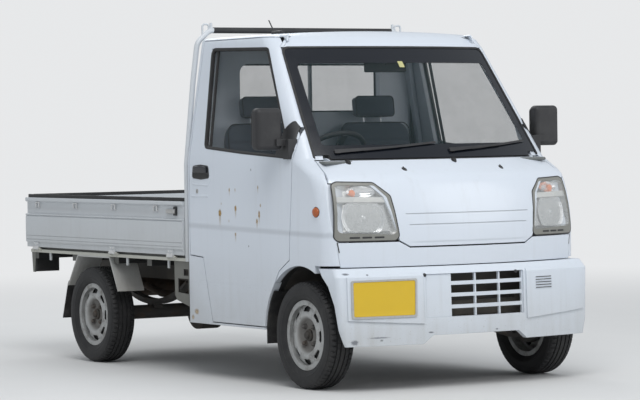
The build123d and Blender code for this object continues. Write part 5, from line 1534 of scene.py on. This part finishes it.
@dataclass
class Wheels(Piecework):
    """Treaded tyres, pressed discs with a near-black ring of painted shade behind their vents, wheel nuts, hub caps
    and valves.

    The tyre's profile gives the distance out from its middle and the radius. All others give the radius and the
    distance out, the disc's from the rim's well to the hub's hole.
    """

    centre: tuple[float, float] = (652.0, 260.0)
    half_profile: Outline = (
        (0.0, 259.6), (9.4, 259.6), (10.6, 253.8), (15.4, 253.8), (16.6, 259.4), (24.5, 259.3), (32.4, 259.0),
        (33.6, 253.2), (38.4, 253.2), (39.6, 258.6), (50.0, 257.9), (57.0, 255.6), (62.0, 251.6), (66.0, 246.0),
        (67.4, 241.0), (69.6, 240.4), (70.6, 232.0), (71.8, 224.0), (72.4, 216.0), (71.6, 208.0), (70.0, 199.5),
        (70.4, 197.5), (68.6, 195.0), (65.6, 187.0), (61.6, 179.6), (58.2, 174.6), (54.8, 171.8), (50.0, 170.4),
        (47.9, 168.0), (47.9, 155.0),
    )
    inner_profile: Outline = ((40.0, 172.0), (-40.0, 172.0))
    blocks: int = 60
    per_block: int = 8
    disc: Outline = (
        (149.0, 26.0), (147.5, 31.0), (144.0, 34.5), (140.0, 37.0), (136.0, 39.2), (131.0, 41.6), (126.0, 43.8),
        (121.0, 45.6), (116.0, 47.2), (110.0, 49.0), (104.0, 50.4), (98.0, 50.6), (92.0, 49.0), (86.0, 45.0),
        (80.0, 38.0), (75.0, 31.0), (70.0, 27.5), (64.0, 26.5), (54.0, 26.2), (44.0, 26.4), (36.0, 28.5),
        (31.0, 29.5), (28.0, 28.0),
    )
    disc_sides: int = 192
    sheet: float = 2.8
    vents: int = 8
    vent_radius: float = 129.0
    vent_halves: tuple[float, float] = (24.0, 13.5)
    # Section of the near-black ring behind the vents, painted shade for the inside of the wheel
    shade_ring: Outline = ((146.0, 22.0), (112.0, 36.0), (112.0, 38.5), (146.0, 25.0))
    face: float = 27.0
    nut_circle: float = 57.0
    nut_count: int = 4
    washer: Outline = ((0.0, -1.0), (15.5, -1.0), (15.0, 2.2), (12.2, 4.0))
    nut: Outline = ((0.0, 3.0), (11.2, 3.0), (11.2, 12.5), (9.6, 15.0), (7.0, 19.0), (0.0, 20.5))
    hub: Outline = (
        (0.0, -12.0), (30.0, -12.0), (30.0, 2.0), (28.5, 10.0), (24.0, 13.5), (20.5, 14.5), (19.0, 14.5),
        (18.0, 22.0), (14.0, 26.0), (0.0, 27.5),
    )

    def tyre(self, centre: np.ndarray) -> Shape:
        """A tyre: its section turned round the axle, with blocks cut by lowering two columns of every eight at the
        shoulders and one at the ribs.

        Args:
            centre: The wheel's centre.

        Returns:
            The closed tyre.
        """
        half = np.asarray(self.half_profile)
        section = np.concatenate((half[::-1] * (-1, 1), half[1:], self.inner_profile))
        columns = np.arange(self.blocks * self.per_block)
        out, radius = section[:, :1], section[:, 1:]
        shoulder = np.interp(np.abs(out), [39.0, 39.5, 58.0, 68.0], [0.0, 5.4, 5.0, 0.0])
        rib = np.interp(np.abs(out), [16.0, 16.5, 32.5, 33.0], [0.0, 2.2, 2.2, 0.0])
        turn = (columns[None] + np.where(out > 0, 0, self.per_block // 2)) % self.per_block
        radius = radius - shoulder * (turn < 2) * (radius > 239) - rib * (turn == 5) * (radius > 255)
        t = angles(len(columns))
        grid = np.stack((radius * np.cos(t), np.broadcast_to(out, radius.shape), radius * np.sin(t)), -1)
        return Shape.grid(metres(grid + centre), True)

    def wheel_face(self, centre: np.ndarray, side: Side) -> Shape:
        """The pressed disc: its section turned round the axle, without the faces that lie in a vent. A vent is where
        the fourth powers of the shares of its two half sizes add up to less than 1.

        Args:
            centre: The wheel's centre.
            side: The truck's side that it faces.

        Returns:
            The disc as an open sheet.
        """
        section = np.asarray(self.disc)
        radius, out = section[:, :1], side.value * section[:, 1:]
        t = angles(self.disc_sides)
        grid = np.stack(np.broadcast_arrays(radius * np.cos(t), out, radius * np.sin(t)), -1)
        sheet = Shape.grid(metres(grid + centre))
        middle_r = (section[:-1, 0] + section[1:, 0]) / 2
        middle_t = (t + math.pi / self.disc_sides) * self.vents / 2
        along = np.abs(np.sin(middle_t))[None] * 2 / self.vents * middle_r[:, None]
        across = np.abs(middle_r - self.vent_radius)[:, None]
        vent = (along / self.vent_halves[0]) ** 4 + (across / self.vent_halves[1]) ** 4 < 1
        sheet.faces = [face for face, gone in zip(sheet.faces, vent.ravel()) if not gone]
        return sheet

    def wheel(self, end: End, side: Side) -> None:
        """Dresses one wheel."""
        label = f"{end.name.lower()}_{side.label}"
        body = f"wheel_{label}"
        piece = self.bench.piece
        out = np.asarray(side.outward)
        centre = np.asarray((end.value, side.value * self.centre[0], self.centre[1]))
        piece(f"tyre_treaded_{label}", self.tyre(centre), "tyre_black", "tyre", body, (f"tyre_{label}",), 28.0)
        # Painted shade: a near-black ring behind the disc's vents stands for the shade inside the wheel.
        shades = turned(self.shade_ring, centre, out, 60, True)
        piece(f"wheel_vent_shades_{label}", shades, "grille_dark", "rim_steel", body)
        disc = piece(
            f"wheel_disc_{label}", self.wheel_face(centre, side), "wheel_disc_silver", "rim_steel", body, smooth=50.0
        )
        sheet = disc.modifiers.new("sheet", "SOLIDIFY")
        sheet.thickness, sheet.offset = self.sheet * MM, -1.0
        base = centre + out * self.face
        nuts = []
        for angle in math.pi / 4 + angles(self.nut_count):
            spot = base + np.asarray((math.cos(angle), 0, math.sin(angle))) * self.nut_circle
            nuts += [turned(self.washer, spot, out, 20), turned(self.nut, spot, out, 6)]
        piece(f"wheel_nuts_{label}", joined(nuts), "cast_iron", "rim_steel", body, smooth=25.0)
        piece(f"hub_cap_{label}", turned(self.hub, base, out, 36), "hub_dark", "rim_steel", body)
        valve = centre + (0.0, 0.0, -141.5) + out * 6.0
        stem = tube([valve, valve + out * 22.0 + (0.0, 0.0, 8.0)], 4.0, sides=10)
        piece(f"tyre_valve_{label}", stem, "seal_black", "tyre", body)

    def build(self) -> None:
        """Dresses each wheel."""
        for end in End:
            for side in Side:
                self.wheel(end, side)


@dataclass
class BedDress(Piecework):
    """Rope hooks, latches, hinge leaves and pegs of the gates, deck ribs, rear lamps and the rear plate's place.

    A rope hook's and a latch's points are given along the gate, out of its recess and up.
    """

    gate_span: tuple[float, float] = (-2952, -1143)
    skin_out: float = 737.2
    recess_out: float = 724.0
    hooks: tuple[float, ...] = (-2810.0, -2351.0, -1901.0, -1434.0)
    hinges: tuple[float, ...] = (-2834.0, -1918.0, -1276.0)
    pegs: tuple[float, ...] = (-2695.0, -1785.0, -1331.0)
    loop: tuple[Point, ...] = (
        (-18.0, 0.0, 836.0), (-18.0, 9.0, 838.0), (-18.0, 9.0, 864.0), (18.0, 9.0, 864.0), (18.0, 9.0, 838.0),
        (18.0, 0.0, 836.0),
    )
    latch_at: float = -1262.0
    lip_z: float = 795
    rail_z: float = 880
    lip_section: Outline = ((-4, -6), (-3, 1.0), (0, 2.2), (4, 1.0), (5, -6))
    rail_section: Outline = ((-9.5, -2), (-8, 1.4), (0, 2.4), (8, 1.4), (9.5, -2))
    strip_low: float = 888.5
    strip_top: float = 909.0
    rear_x: float = -2954.5
    rear_hooks: tuple[float, ...] = (-480.0, 0.0, 480.0)
    rear_hinges: tuple[float, ...] = (-500.0, 0.0, 500.0)
    rear_span: tuple[float, float] = (-698, 698)
    rear_lip_section: Outline = ((-4, -6), (-3, 0.0), (0, 0.4), (4, 0.0), (5, -6))
    rear_rail_section: Outline = ((-9.5, -2), (-8, 0.2), (0, 0.4), (8, 0.2), (9.5, -2))
    rear_latch_y: float = 630.0
    ribs: tuple[float, float, int] = (-630.0, 630.0, 13)
    swages: tuple[float, ...] = (-650.0, -200.0, 250.0)
    lamps: tuple[tuple[str, str, float, float], ...] = (
        ("reverse", "lamp_clear", 568.0, 604.0), ("turn", "amber", 607.0, 648.0), ("stop", "lens_red", 651.0, 692.0),
    )

    def latch(self, at: Callable[[float, float, float], Point], name: str, body: str) -> None:
        """One gate latch from its block, hook and hand lever.

        Args:
            at: Turns a distance along the gate, out of its recess and up into a point of the frame.
            name: The end of the pieces' names.
            body: The gate's body.
        """
        block = rounded_box(at(22.0, -1.0, 816.0), at(52.0, 10.0, 862.0), 3.0)
        lever = rounded_box(at(-52.0, 3.0, 826.0), at(40.0, 13.5, 849.0), 5.0)
        stud = rounded_box(at(-20.0, -1.0, 829.0), at(20.0, 8.0, 846.0), 2.0)
        self.bench.piece(f"latch_block_{name}", block, "trim_black", body=body)
        self.bench.piece(f"latch_lever_{name}", lever + stud, "steel_bare", "galvanised", body)

    def side(self, side: Side) -> None:
        """Dresses one side gate and the sill below it."""
        piece, s, label, gate = self.bench.piece, side.value, side.label, side.gate
        skin = long_skin(s * self.skin_out, s)
        staples = joined([
            tube([(x + a, s * (self.recess_out + out), z) for a, out, z in self.loop], 3.8, 5.0, 10)
            for x in self.hooks
        ])
        piece(f"gate_rope_hooks_{label}", staples, "zinc_bright", "galvanised", gate)
        pegs = joined([rounded_box((x - 7, s * 706.0, 540.0), (x + 7, s * 718.0, 584.0), 3.0) for x in self.pegs])
        piece(f"sill_pegs_{label}", pegs, "bed_white", "bed_paint")
        leaves = joined([
            skin.pad(oblong(x - 31, x + 31, 600, 619), 4.0, [(0, -0.5), (0, 2.4), (1.5, 4.0)], 8.0)
            + skin.dome((x - 15, 630), (6, 6), 0.0, 4.0, rings=3, sides=6)
            + skin.dome((x + 15, 630), (6, 6), 0.0, 4.0, rings=3, sides=6)
            for x in self.hinges
        ])
        piece(f"gate_hinge_leaves_{label}", leaves, "zinc_bright", "galvanised", gate)
        back, front = self.gate_span
        lip = skin.bead([(back, self.lip_z), (front, self.lip_z)], self.lip_section)
        rail = skin.bead([(back, self.rail_z), (front, self.rail_z)], self.rail_section)
        piece(f"gate_lips_{label}", lip + rail, "bed_white", "bed_paint", gate)
        strip = rounded_box(
            (back + 2, s * 708.5, self.strip_low), (front + 1, s * 721.5, self.strip_top), 3.0
        )
        piece(f"gate_top_strip_{label}", strip, "seal_black", "flap_rubber", gate)
        self.latch(lambda a, out, z: (self.latch_at + a, s * (self.recess_out + 1.0 + out), z), label, gate)

    def tailgate(self) -> None:
        """Dresses the tailgate."""
        piece, rear, body = self.bench.piece, upright_skin(self.rear_x), "tailgate_body"
        leaves = joined([
            rear.pad(
                [(y - 29, 607), (y + 29, 607), (y + 26, 639), (y - 26, 639)], 5.0,
                [(0, -0.5), (0, 0.2), (1.5, 0.4)], 8.0,
            )
            for y in self.rear_hinges
        ])
        piece("tailgate_hinge_leaves", leaves, "zinc_dull", "galvanised", body)
        staples = joined([
            tube([(-2942.0 - out, y + a, z) for a, out, z in self.loop], 3.8, 5.0, 10) for y in self.rear_hooks
        ])
        piece("tailgate_rope_hooks", staples, "zinc_bright", "galvanised", body)
        left, right = self.rear_span
        lip = rear.bead([(left, self.lip_z), (right, self.lip_z)], self.rear_lip_section)
        rail = rear.bead([(left, self.rail_z), (right, self.rail_z)], self.rear_rail_section)
        piece("tailgate_lips", lip + rail, "bed_white", "bed_paint", body)
        for side in (Side.LEFT, Side.RIGHT):
            self.latch(
                lambda a, out, z, s=side.value: (-2943.0 - out * 0.85, s * (self.rear_latch_y - a), z),
                f"rear_{side.label}_end", body,
            )

    def deck(self) -> None:
        """Dresses the deck and the front board, and lays the rubber strips on the two boards across the bed."""
        piece = self.bench.piece
        ribs = joined([
            rounded_box((-2912.0, y - 19, 633.0), (-1172.0, y + 19, 640.5), 4.0, 2) for y in np.linspace(*self.ribs)
        ])
        piece("deck_ribs", ribs, "deck_worn", "bed_paint")
        board = upright_skin(-1160.0)
        swages = joined([
            board.pad(oblong(a, a + 400, 670, 850), 24.0, [(0, -0.5), (3.0, 3.0), (8.0, 4.0)]) for a in self.swages
        ])
        piece("front_board_swages", swages, "bed_white", "bed_paint")
        for name, body, back in (("front_board", "truck", -1157.0), ("tailgate", "tailgate_body", -2950.0)):
            strip = rounded_box((back, -690.0, self.strip_low), (back + 14.0, 690.0, self.strip_top), 3.0)
            piece(f"{name}_strip", strip, "seal_black", "flap_rubber", body)

    def rear_end(self) -> None:
        """Makes the rear lamps' lenses, the plate's lamp and hanger, and the blank plate."""
        piece, face = self.bench.piece, upright_skin(-2939.0)
        for name, finish, low, high in self.lamps:
            lens = face.pad(oblong(low, high, 480, 560), 5.0, [(0, -0.5), (0, 5.0), (2, 7.5), (7, 8.0)], 8.0)
            piece(f"tail_lamp_{name}_lenses", both_sides(lens), finish, "tail_lamp")
        hanger = rounded_box((-2932.0, -100.0, 430.0), (-2926.0, 100.0, 600.0), 2.0)
        lamp = rounded_box((-2938.0, -55.0, 556.0), (-2924.0, 55.0, 580.0), 6.0)
        piece("rear_plate_hanger", hanger + lamp, "trim_black")
        plate = upright_skin(-2933.0).pad(
            oblong(-165, 165, 392, 552), 9.0, [(0, 0.0), (0, 1.2), (1.5, 2.2), (5, 1.8)]
        )
        piece("number_plate_rear_blank", plate, "plate_yellow", None)

    def build(self) -> None:
        """Dresses both sides, the tailgate, the deck and the rear."""
        for side in Side:
            self.side(side)
        self.tailgate()
        self.deck()
        self.rear_end()


@dataclass
class Rooftop(Piecework):
    """The guard's dark padded bar, centre post and staples, the aerial and the door mirrors' glasses."""

    guard_x: float = -1120.0
    staple: Outline = ((574.0, 1758.0), (574.0, 1800.0), (611.0, 1800.0), (611.0, 1735.0))
    mirror_x: float = -165.0
    mirror: tuple[float, float, float, float] = (766.0, 889.0, 1164.0, 1344.0)
    rim_section: Outline = ((-4, -1), (-3, 2.6), (3, 2.6), (4, -1))

    def build(self) -> None:
        """Makes the pieces above the belt line."""
        piece, x = self.bench.piece, self.guard_x
        piece("guard_bar_sleeve", tube([(x, -548.0, 1769.0), (x, 548.0, 1769.0)], 15.5, sides=20), "trim_black")
        loops = joined([tube([(x, side.value * y, z) for y, z in self.staple], 5.2, 12.0, 12) for side in Side])
        post = tube([(x, 35.0, 600.0), (x, 35.0, 1768.0)], 11.5, sides=18)
        piece("guard_post", post, "bed_white", "bed_paint")
        piece("guard_staples", loops, "bed_white", "bed_paint")
        foot = rounded_box((-604.0, -514.0, 1724.0), (-500.0, -486.0, 1747.0), 11.5)
        rod = tube([(-588.0, -500.0, 1740.0), (-640.0, -500.0, 1801.0)], 3.2, sides=12)
        piece("aerial", foot + rod, "trim_black")
        face = upright_skin(self.mirror_x)
        for side in Side:
            outline = [(side.value * y, z) for y, z in oblong(*self.mirror)]
            glass = face.pad(outline, 20.0, [(0, -1.0), (0, 0.8), (1.5, 1.6)])
            piece(f"mirror_glass_{side.label}", glass, "chrome_bright", "glass", side.door)
            rim = face.band(outline, self.rim_section, 20.0)
            piece(f"mirror_rim_{side.label}", rim, "trim_black", body=side.door)


@dataclass(frozen=True)
class Pad:
    """One stuffed part of a seat: its place ahead of the axle and up, its half sizes across the truck, along it and
    through it, the height of its crown, its sewn channels as shares of the second half size, whether it leans with
    the back, the bend of its piping and the CAD nodes that it stands for."""

    name: str
    at: tuple[float, float]
    halves: tuple[float, float, float]
    crown: float
    channels: tuple[float, ...] = ()
    leans: bool = True
    bend: float = 45.0
    replaces: tuple[str, ...] = ()

    square: ClassVar[float] = 0.36
    close: ClassVar[float] = 1.8
    channel_depth: ClassVar[float] = 6.0
    channel_width: ClassVar[float] = 0.035
    draw: ClassVar[float] = 0.018

    def shape(self, centre: np.ndarray, along: Point, face: Point, rings: int = 40, sides: int = 200) -> Shape:
        """The pad as rings of a rounded rectangle that shrink towards the middle of the face.

        A ring of share c stands at the thickness times the fourth root of 1 - c to the fourth. The face is crowned by
        the crown times (1 - u squared)(1 - v squared), each channel pulls it down by a bell curve, and the sides draw
        in between the corners.

        Args:
            centre: Its middle.
            along: Unit direction of its second half size.
            face: Unit direction in which it faces.
            rings: Rings on the face.
            sides: Points round it.

        Returns:
            The closed pad.
        """
        t = angles(sides)
        ring_u = np.sign(np.cos(t)) * np.abs(np.cos(t)) ** self.square
        ring_v = np.sign(np.sin(t)) * np.abs(np.sin(t)) ** self.square
        upper = 1 - np.linspace(0, 1, rings) ** self.close
        lower = 1 - np.linspace(0, 1, 12)[1:] ** self.close
        c = np.maximum(np.concatenate((lower[::-1], upper))[:, None], 1e-3)
        top = np.concatenate((-np.ones(len(lower)), np.ones(rings)))[:, None]
        u, v = c * ring_u, c * ring_v
        w = top * self.halves[2] * np.maximum(1 - c**4, 0.0) ** 0.25
        facing = np.where(top > 0, 1.0, 0.0) * np.clip((1 - c) * 9, 0, 1)
        w = w + self.crown * (1 - u**2) * (1 - v**2) * facing
        for channel in self.channels:
            w = w - self.channel_depth * np.exp(-(((v - channel) / self.channel_width) ** 2)) * facing
        across = u * self.halves[0] * (1 - self.draw * (1 - v**2) * np.abs(u))
        long = v * self.halves[1] * (1 - self.draw * (1 - u**2) * np.abs(v))
        parts = zip((across, long, w), ((0.0, 1.0, 0.0), along, face))
        grid = centre + sum(size[..., None] * np.asarray(axis, float) for size, axis in parts)
        return Shape.grid(metres(grid), caps=True)

    def piping(self, centre: np.ndarray, along: Point, face: Point) -> Shape:
        """The cord along the face's edge, as a rounded loop near its corners."""
        lift = centre + self.halves[2] * 0.66 * np.asarray(face)
        path = [
            lift + (0.0, a * self.halves[0] * 0.955, 0.0) + b * self.halves[1] * 0.955 * np.asarray(along)
            for a, b in oblong(-1, 1, -1, 1)
        ]
        return tube(path, 3.2, self.bend, 8, True)


@dataclass
class Cabin(Piecework):
    """Seats, belts, facia, controls, trim cards and lining inside the cab."""

    seat_y: float = 345.0
    lean: float = math.radians(7.5)
    pads: tuple[Pad, ...] = (
        Pad("seat_cushion", (-640.0, 724.0), (232.0, 238.0, 52.0), 14.0, (-0.45, 0.05, 0.52), False,
            replaces=("seat_cushions",)),
        Pad("seat_back", (-966.0, 1047.0), (222.0, 245.0, 38.0), 12.0, (-0.4, 0.08, 0.55), replaces=("seat_backs",)),
        Pad("headrest", (-991.0, 1366.0), (124.0, 56.0, 30.0), 10.0, bend=22.0),
    )
    belt: tuple[float, float] = (618.0, 660.0)
    buckle_y: float = 85.0
    wheel_centre: Point = (-335.0, -345.0, 1118.0)
    tilt: float = math.radians(38.0)
    dials: tuple[float, ...] = (-410, -345, -280)
    knobs: Outline = ((-70, 1010), (85, 1010), (-60, 900), (7, 900), (75, 900))
    vents: tuple[float, ...] = (-600, -150, 165, 600)
    vent: Outline = ((0.0, 0.0), (36.0, 0.0), (36.0, 8.0), (31.0, 11.0), (29.0, 5.0), (0.0, 5.0))
    shroud: Outline = (
        (0.0, -300.0), (40.0, -300.0), (52.0, -270.0), (52.0, -100.0), (44.0, -70.0), (0.0, -68.0),
    )
    horn: Outline = ((0.0, -12.0), (56.0, -12.0), (62.0, -4.0), (58.0, 6.0), (40.0, 12.0), (0.0, 14.0))
    knob: Outline = ((0.0, -30.0), (14.0, -28.0), (22.0, 0.0), (21.0, 14.0), (12.0, 24.0), (0.0, 26.0))
    boot: Outline = (
        (0.0, 0.0), (55.0, 0.0), (50.0, 20.0), (34.0, 35.0), (30.0, 50.0), (14.0, 75.0), (0.0, 76.0),
    )
    pedals: Outline = ((-455.0, 32.0), (-345.0, 34.0), (-235.0, 22.0))
    card: Outline = (
        (-820, 335), (-312, 335), (-305, 500), (-235, 610), (-150, 660), (-125, 960), (-128, 1078), (-985, 1078),
        (-1000, 680), (-880, 668),
    )
    armrest: Outline = ((-820, 868), (-420, 868), (-400, 905), (-830, 905))
    winder_at: tuple[float, float] = (-560.0, 775.0)
    winder: Outline = ((0.0, 0.0), (22.0, 0.0), (20.0, 12.0), (12.0, 16.0), (0.0, 16.0))

    def put(self, name: str, shape: Shape, finish: str, body: str = "truck") -> bpy.types.Object:
        """Makes a piece of the interior."""
        return self.bench.piece(name, shape, finish, "interior", body)

    def seats(self, side: Side) -> None:
        """Makes one seat from its cushion, back and headrest, each a padded piece with piping, and its frame."""
        put, piece, s, label = self.put, self.bench.piece, side.value, side.label
        y = s * self.seat_y
        up, front = (-math.sin(self.lean), 0.0, math.cos(self.lean)), (math.cos(self.lean), 0.0, math.sin(self.lean))
        for made in self.pads:
            along, face = (up, front) if made.leans else ((1.0, 0.0, 0.0), (0.0, 0.0, 1.0))
            centre = np.asarray((made.at[0], y, made.at[1]))
            shape = made.shape(centre, along, face)
            pad = piece(f"{made.name}_{label}", shape, "seat_cloth", "seat_cloth", "truck", made.replaces, 60.0)
            cord = made.piping(centre, along, face)
            piece(f"{made.name}_piping_{label}", cord, "belt_webbing", "seat_cloth")
        posts = joined([
            tube([(-1000.0, y + w, 1270.0), (-1002.0, y + w, 1335.0)], 6.0, sides=12) for w in (-54.0, 54.0)
        ])
        put(f"headrest_posts_{label}", posts, "chrome_bright")
        foot = rounded_box((-968.0, y - 190.0, 655.3), (-915.0, y + 190.0, 815.0), 8.0)
        tray = rounded_box((-862.0, y - 205.0, 655.3), (-420.0, y + 205.0, 690.0), 6.0)
        put(f"seat_frame_{label}", foot + tray, "trim_black")
        low, high = sorted(s * edge for edge in self.belt)
        belt = rounded_box((-1048.0, low, 720.0), (-1046.0, high, 1450.0), 0.9, 2)
        reel = rounded_box((-1054.0, low - 4.0, 665.0), (-1000.0, high + 1.5, 760.0), 8.0)
        loop = rounded_box((-1054.0, low - 4.0, 1440.0), (-1034.0, high + 1.5, 1500.0), 7.0)
        put(f"seat_belt_{label}", belt, "belt_webbing")
        put(f"seat_belt_fittings_{label}", reel + loop, "trim_black")
        near = s * self.buckle_y
        buckle = rounded_box((-900.0, near - 12.0, 700.0), (-860.0, near + 12.0, 830.0), 6.0)
        put(f"seat_buckle_{label}", buckle, "trim_black")

    def facia(self) -> None:
        """Makes the facia's hood, dials, centre panel, vents, glove box and the column with its stalks."""
        put = self.put
        put("facia_hood", rounded_box((-150, -510, 1062), (10, -180, 1122), 22.0), "facia_grey")
        put("facia_top_pad", rounded_box((-60, -655, 1080), (120, 655, 1096), 7.0), "facia_grey")
        face = upright_skin(-151.0)
        screen = [(-495, 1072), (-195, 1072), (-205, 1112), (-485, 1112)]
        put("instrument_panel", face.pad(screen, 10.0, [(0, -2), (0, 0.8), (2, 1.2)]), "trim_glossy_black")
        dials = joined([face.dome((y, 1092), (17, 17), 0.9, 1.6, rings=3, sides=28) for y in self.dials])
        put("instrument_dials", dials, "lamp_ledge")
        put("centre_panel", rounded_box((-156, -95, 850), (-96, 110, 1046), 12.0), "trim_black")
        front = upright_skin(-156.5)
        radio = front.pad(oblong(-85, 100, 985, 1035), 4.0, [(0, -1), (0, 3), (2, 4)])
        slide = front.pad(oblong(-85, 100, 930, 970), 4.0, [(0, -1), (0, 2), (2, 3)])
        knobs = joined([front.dome(at, (9, 9), 3.0, 13.0, round_top=True, rings=5, sides=20) for at in self.knobs])
        put("radio_and_heater", radio + slide, "trim_glossy_black")
        put("facia_knobs", knobs, "trim_black")
        vents = joined([turned(self.vent, (-146.0, y, 1020.0), (-1.0, 0.0, 0.0), 32) for y in self.vents])
        put("facia_vents", vents, "trim_black")
        glove = upright_skin(-141.0).pad(oblong(200, 560, 860, 985), 14.0, [(0, -30), (0, 4), (3, 7)])
        put("glove_box_lid", glove, "facia_grey")
        axis = np.asarray((-math.sin(self.tilt), 0.0, math.cos(self.tilt)))
        hub = np.asarray(self.wheel_centre)
        put("column_shroud", turned(self.shroud, hub, axis, 40), "facia_grey")
        put("horn_pad", turned(self.horn, hub, axis, 44), "trim_black", "steering_wheel_body")
        root = hub - axis * 115.0
        stalks = joined([tube([root, root + (10.0, side.value * 190.0, 15.0)], 5.0, sides=12) for side in Side])
        put("column_stalks", stalks, "trim_black")

    def controls(self) -> None:
        """Makes the levers, pedals, inner mirror, visors, lining and floor mats."""
        put = self.put
        lever = tube([(-470.0, -30.0, 600.0), (-440.0, -30.0, 760.0), (-455.0, -40.0, 860.0)], 8.0, 50.0)
        brake = tube([(-760.0, 30.0, 670.0), (-600.0, 30.0, 730.0), (-520.0, 30.0, 775.0)], 10.0, 50.0)
        knob = turned(self.knob, (-455.0, -40.0, 875.0), UPWARDS, 24, hint=RIGHTWARDS)
        boot = turned(self.boot, (-470.0, -30.0, 640.0), UPWARDS, 28, hint=RIGHTWARDS)
        put("gear_lever", lever + brake, "trim_black")
        put("gear_knob_and_boot", knob + boot, "seal_black")
        pedals = joined([
            rounded_box((62.0, y - w, 555.0), (76.0, y + w, 620.0), 6.0)
            + tube([(76.0, y, 600.0), (150.0, y, 700.0), (160.0, y, 840.0)], 6.0, 40.0)
            for y, w in self.pedals
        ])
        put("pedals", pedals, "trim_black")
        mirror = rounded_box((-352.0, -125.0, 1532.0), (-334.0, 125.0, 1592.0), 8.0)
        arm = tube([(-336.0, 0.0, 1570.0), (-310.0, 0.0, 1615.0), (-300.0, 0.0, 1640.0)], 7.0)
        put("inner_mirror", mirror + arm, "trim_black")
        glass = upright_skin(-352.3).pad(oblong(-119, 119, 1538, 1586), 8.0, [(0, -0.5), (0, 0.4), (1, 0.8)])
        self.bench.piece("inner_mirror_glass", glass, "chrome_bright", "glass")
        visors, mats = (
            joined([
                rounded_box((back, side.value * y - half, low), (front, side.value * y + half, high), radius)
                for side in Side
            ])
            for back, front, y, half, low, high, radius in (
                (-480.0, -345.0, 335.0, 200.0, 1640.0, 1656.0, 7.0), (-330.0, 120.0, 235.0, 185.0, 439.5, 447.5, 4.0),
            )
        )
        put("sun_visors", visors, "lining_grey")
        put("roof_lining", rounded_box((-1040.0, -550.0, 1678.0), (-400.0, 550.0, 1688.0), 5.0), "lining_grey")
        put("floor_mats", mats, "seal_black")

    def door_trim(self, side: Side) -> None:
        """Makes one door's trim card, armrest, window winder and pull."""
        put, s, label, door = self.put, side.value, side.label, side.door
        skin = long_skin(s * 692.4, -s)
        card = skin.pad(self.card, 14.0, [(0, -0.4), (0, 2.0), (3.0, 4.0)])
        put(f"door_card_{label}", card, "door_card_grey", door)
        rest = skin.pad(self.armrest, 12.0, [(0, 2), (0, 26), (8, 33)])
        put(f"door_armrest_{label}", rest, "facia_grey", door)
        x, z = self.winder_at
        y = s * 673.5
        hub = turned(self.winder, (x, s * 688.5, z), (0.0, -s, 0.0), 24)
        end = (x + 78.0, y, z - 28.0)
        crank = tube([(x, y, z), end], 6.0, sides=12)
        grip = tube([end, (end[0], y - s * 34.0, end[2])], 9.0)
        put(f"window_winder_{label}", hub + crank + grip, "trim_black", door)

    def build(self) -> None:
        """Furnishes the whole cab."""
        for side in Side:
            self.seats(side)
            self.door_trim(side)
        self.facia()
        self.controls()


PIECEWORK: tuple[type[Piecework], ...] = (
    Glazing, Headlamps, Nose, Doors, BumperDress, Wheels, BedDress, Rooftop, Cabin,
)


def main() -> None:
    """Builds the truck's pieces in order."""
    logging.basicConfig(level=logging.INFO, format="%(message)s")
    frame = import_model()
    Studio().build()
    bench = Bench(Palette(), frame["nodes"])
    dress_nodes(bench)
    for work in PIECEWORK:
        work(bench).build()
    LOG.info("%d pieces", bench.count)


if __name__ == "__main__":
    main()
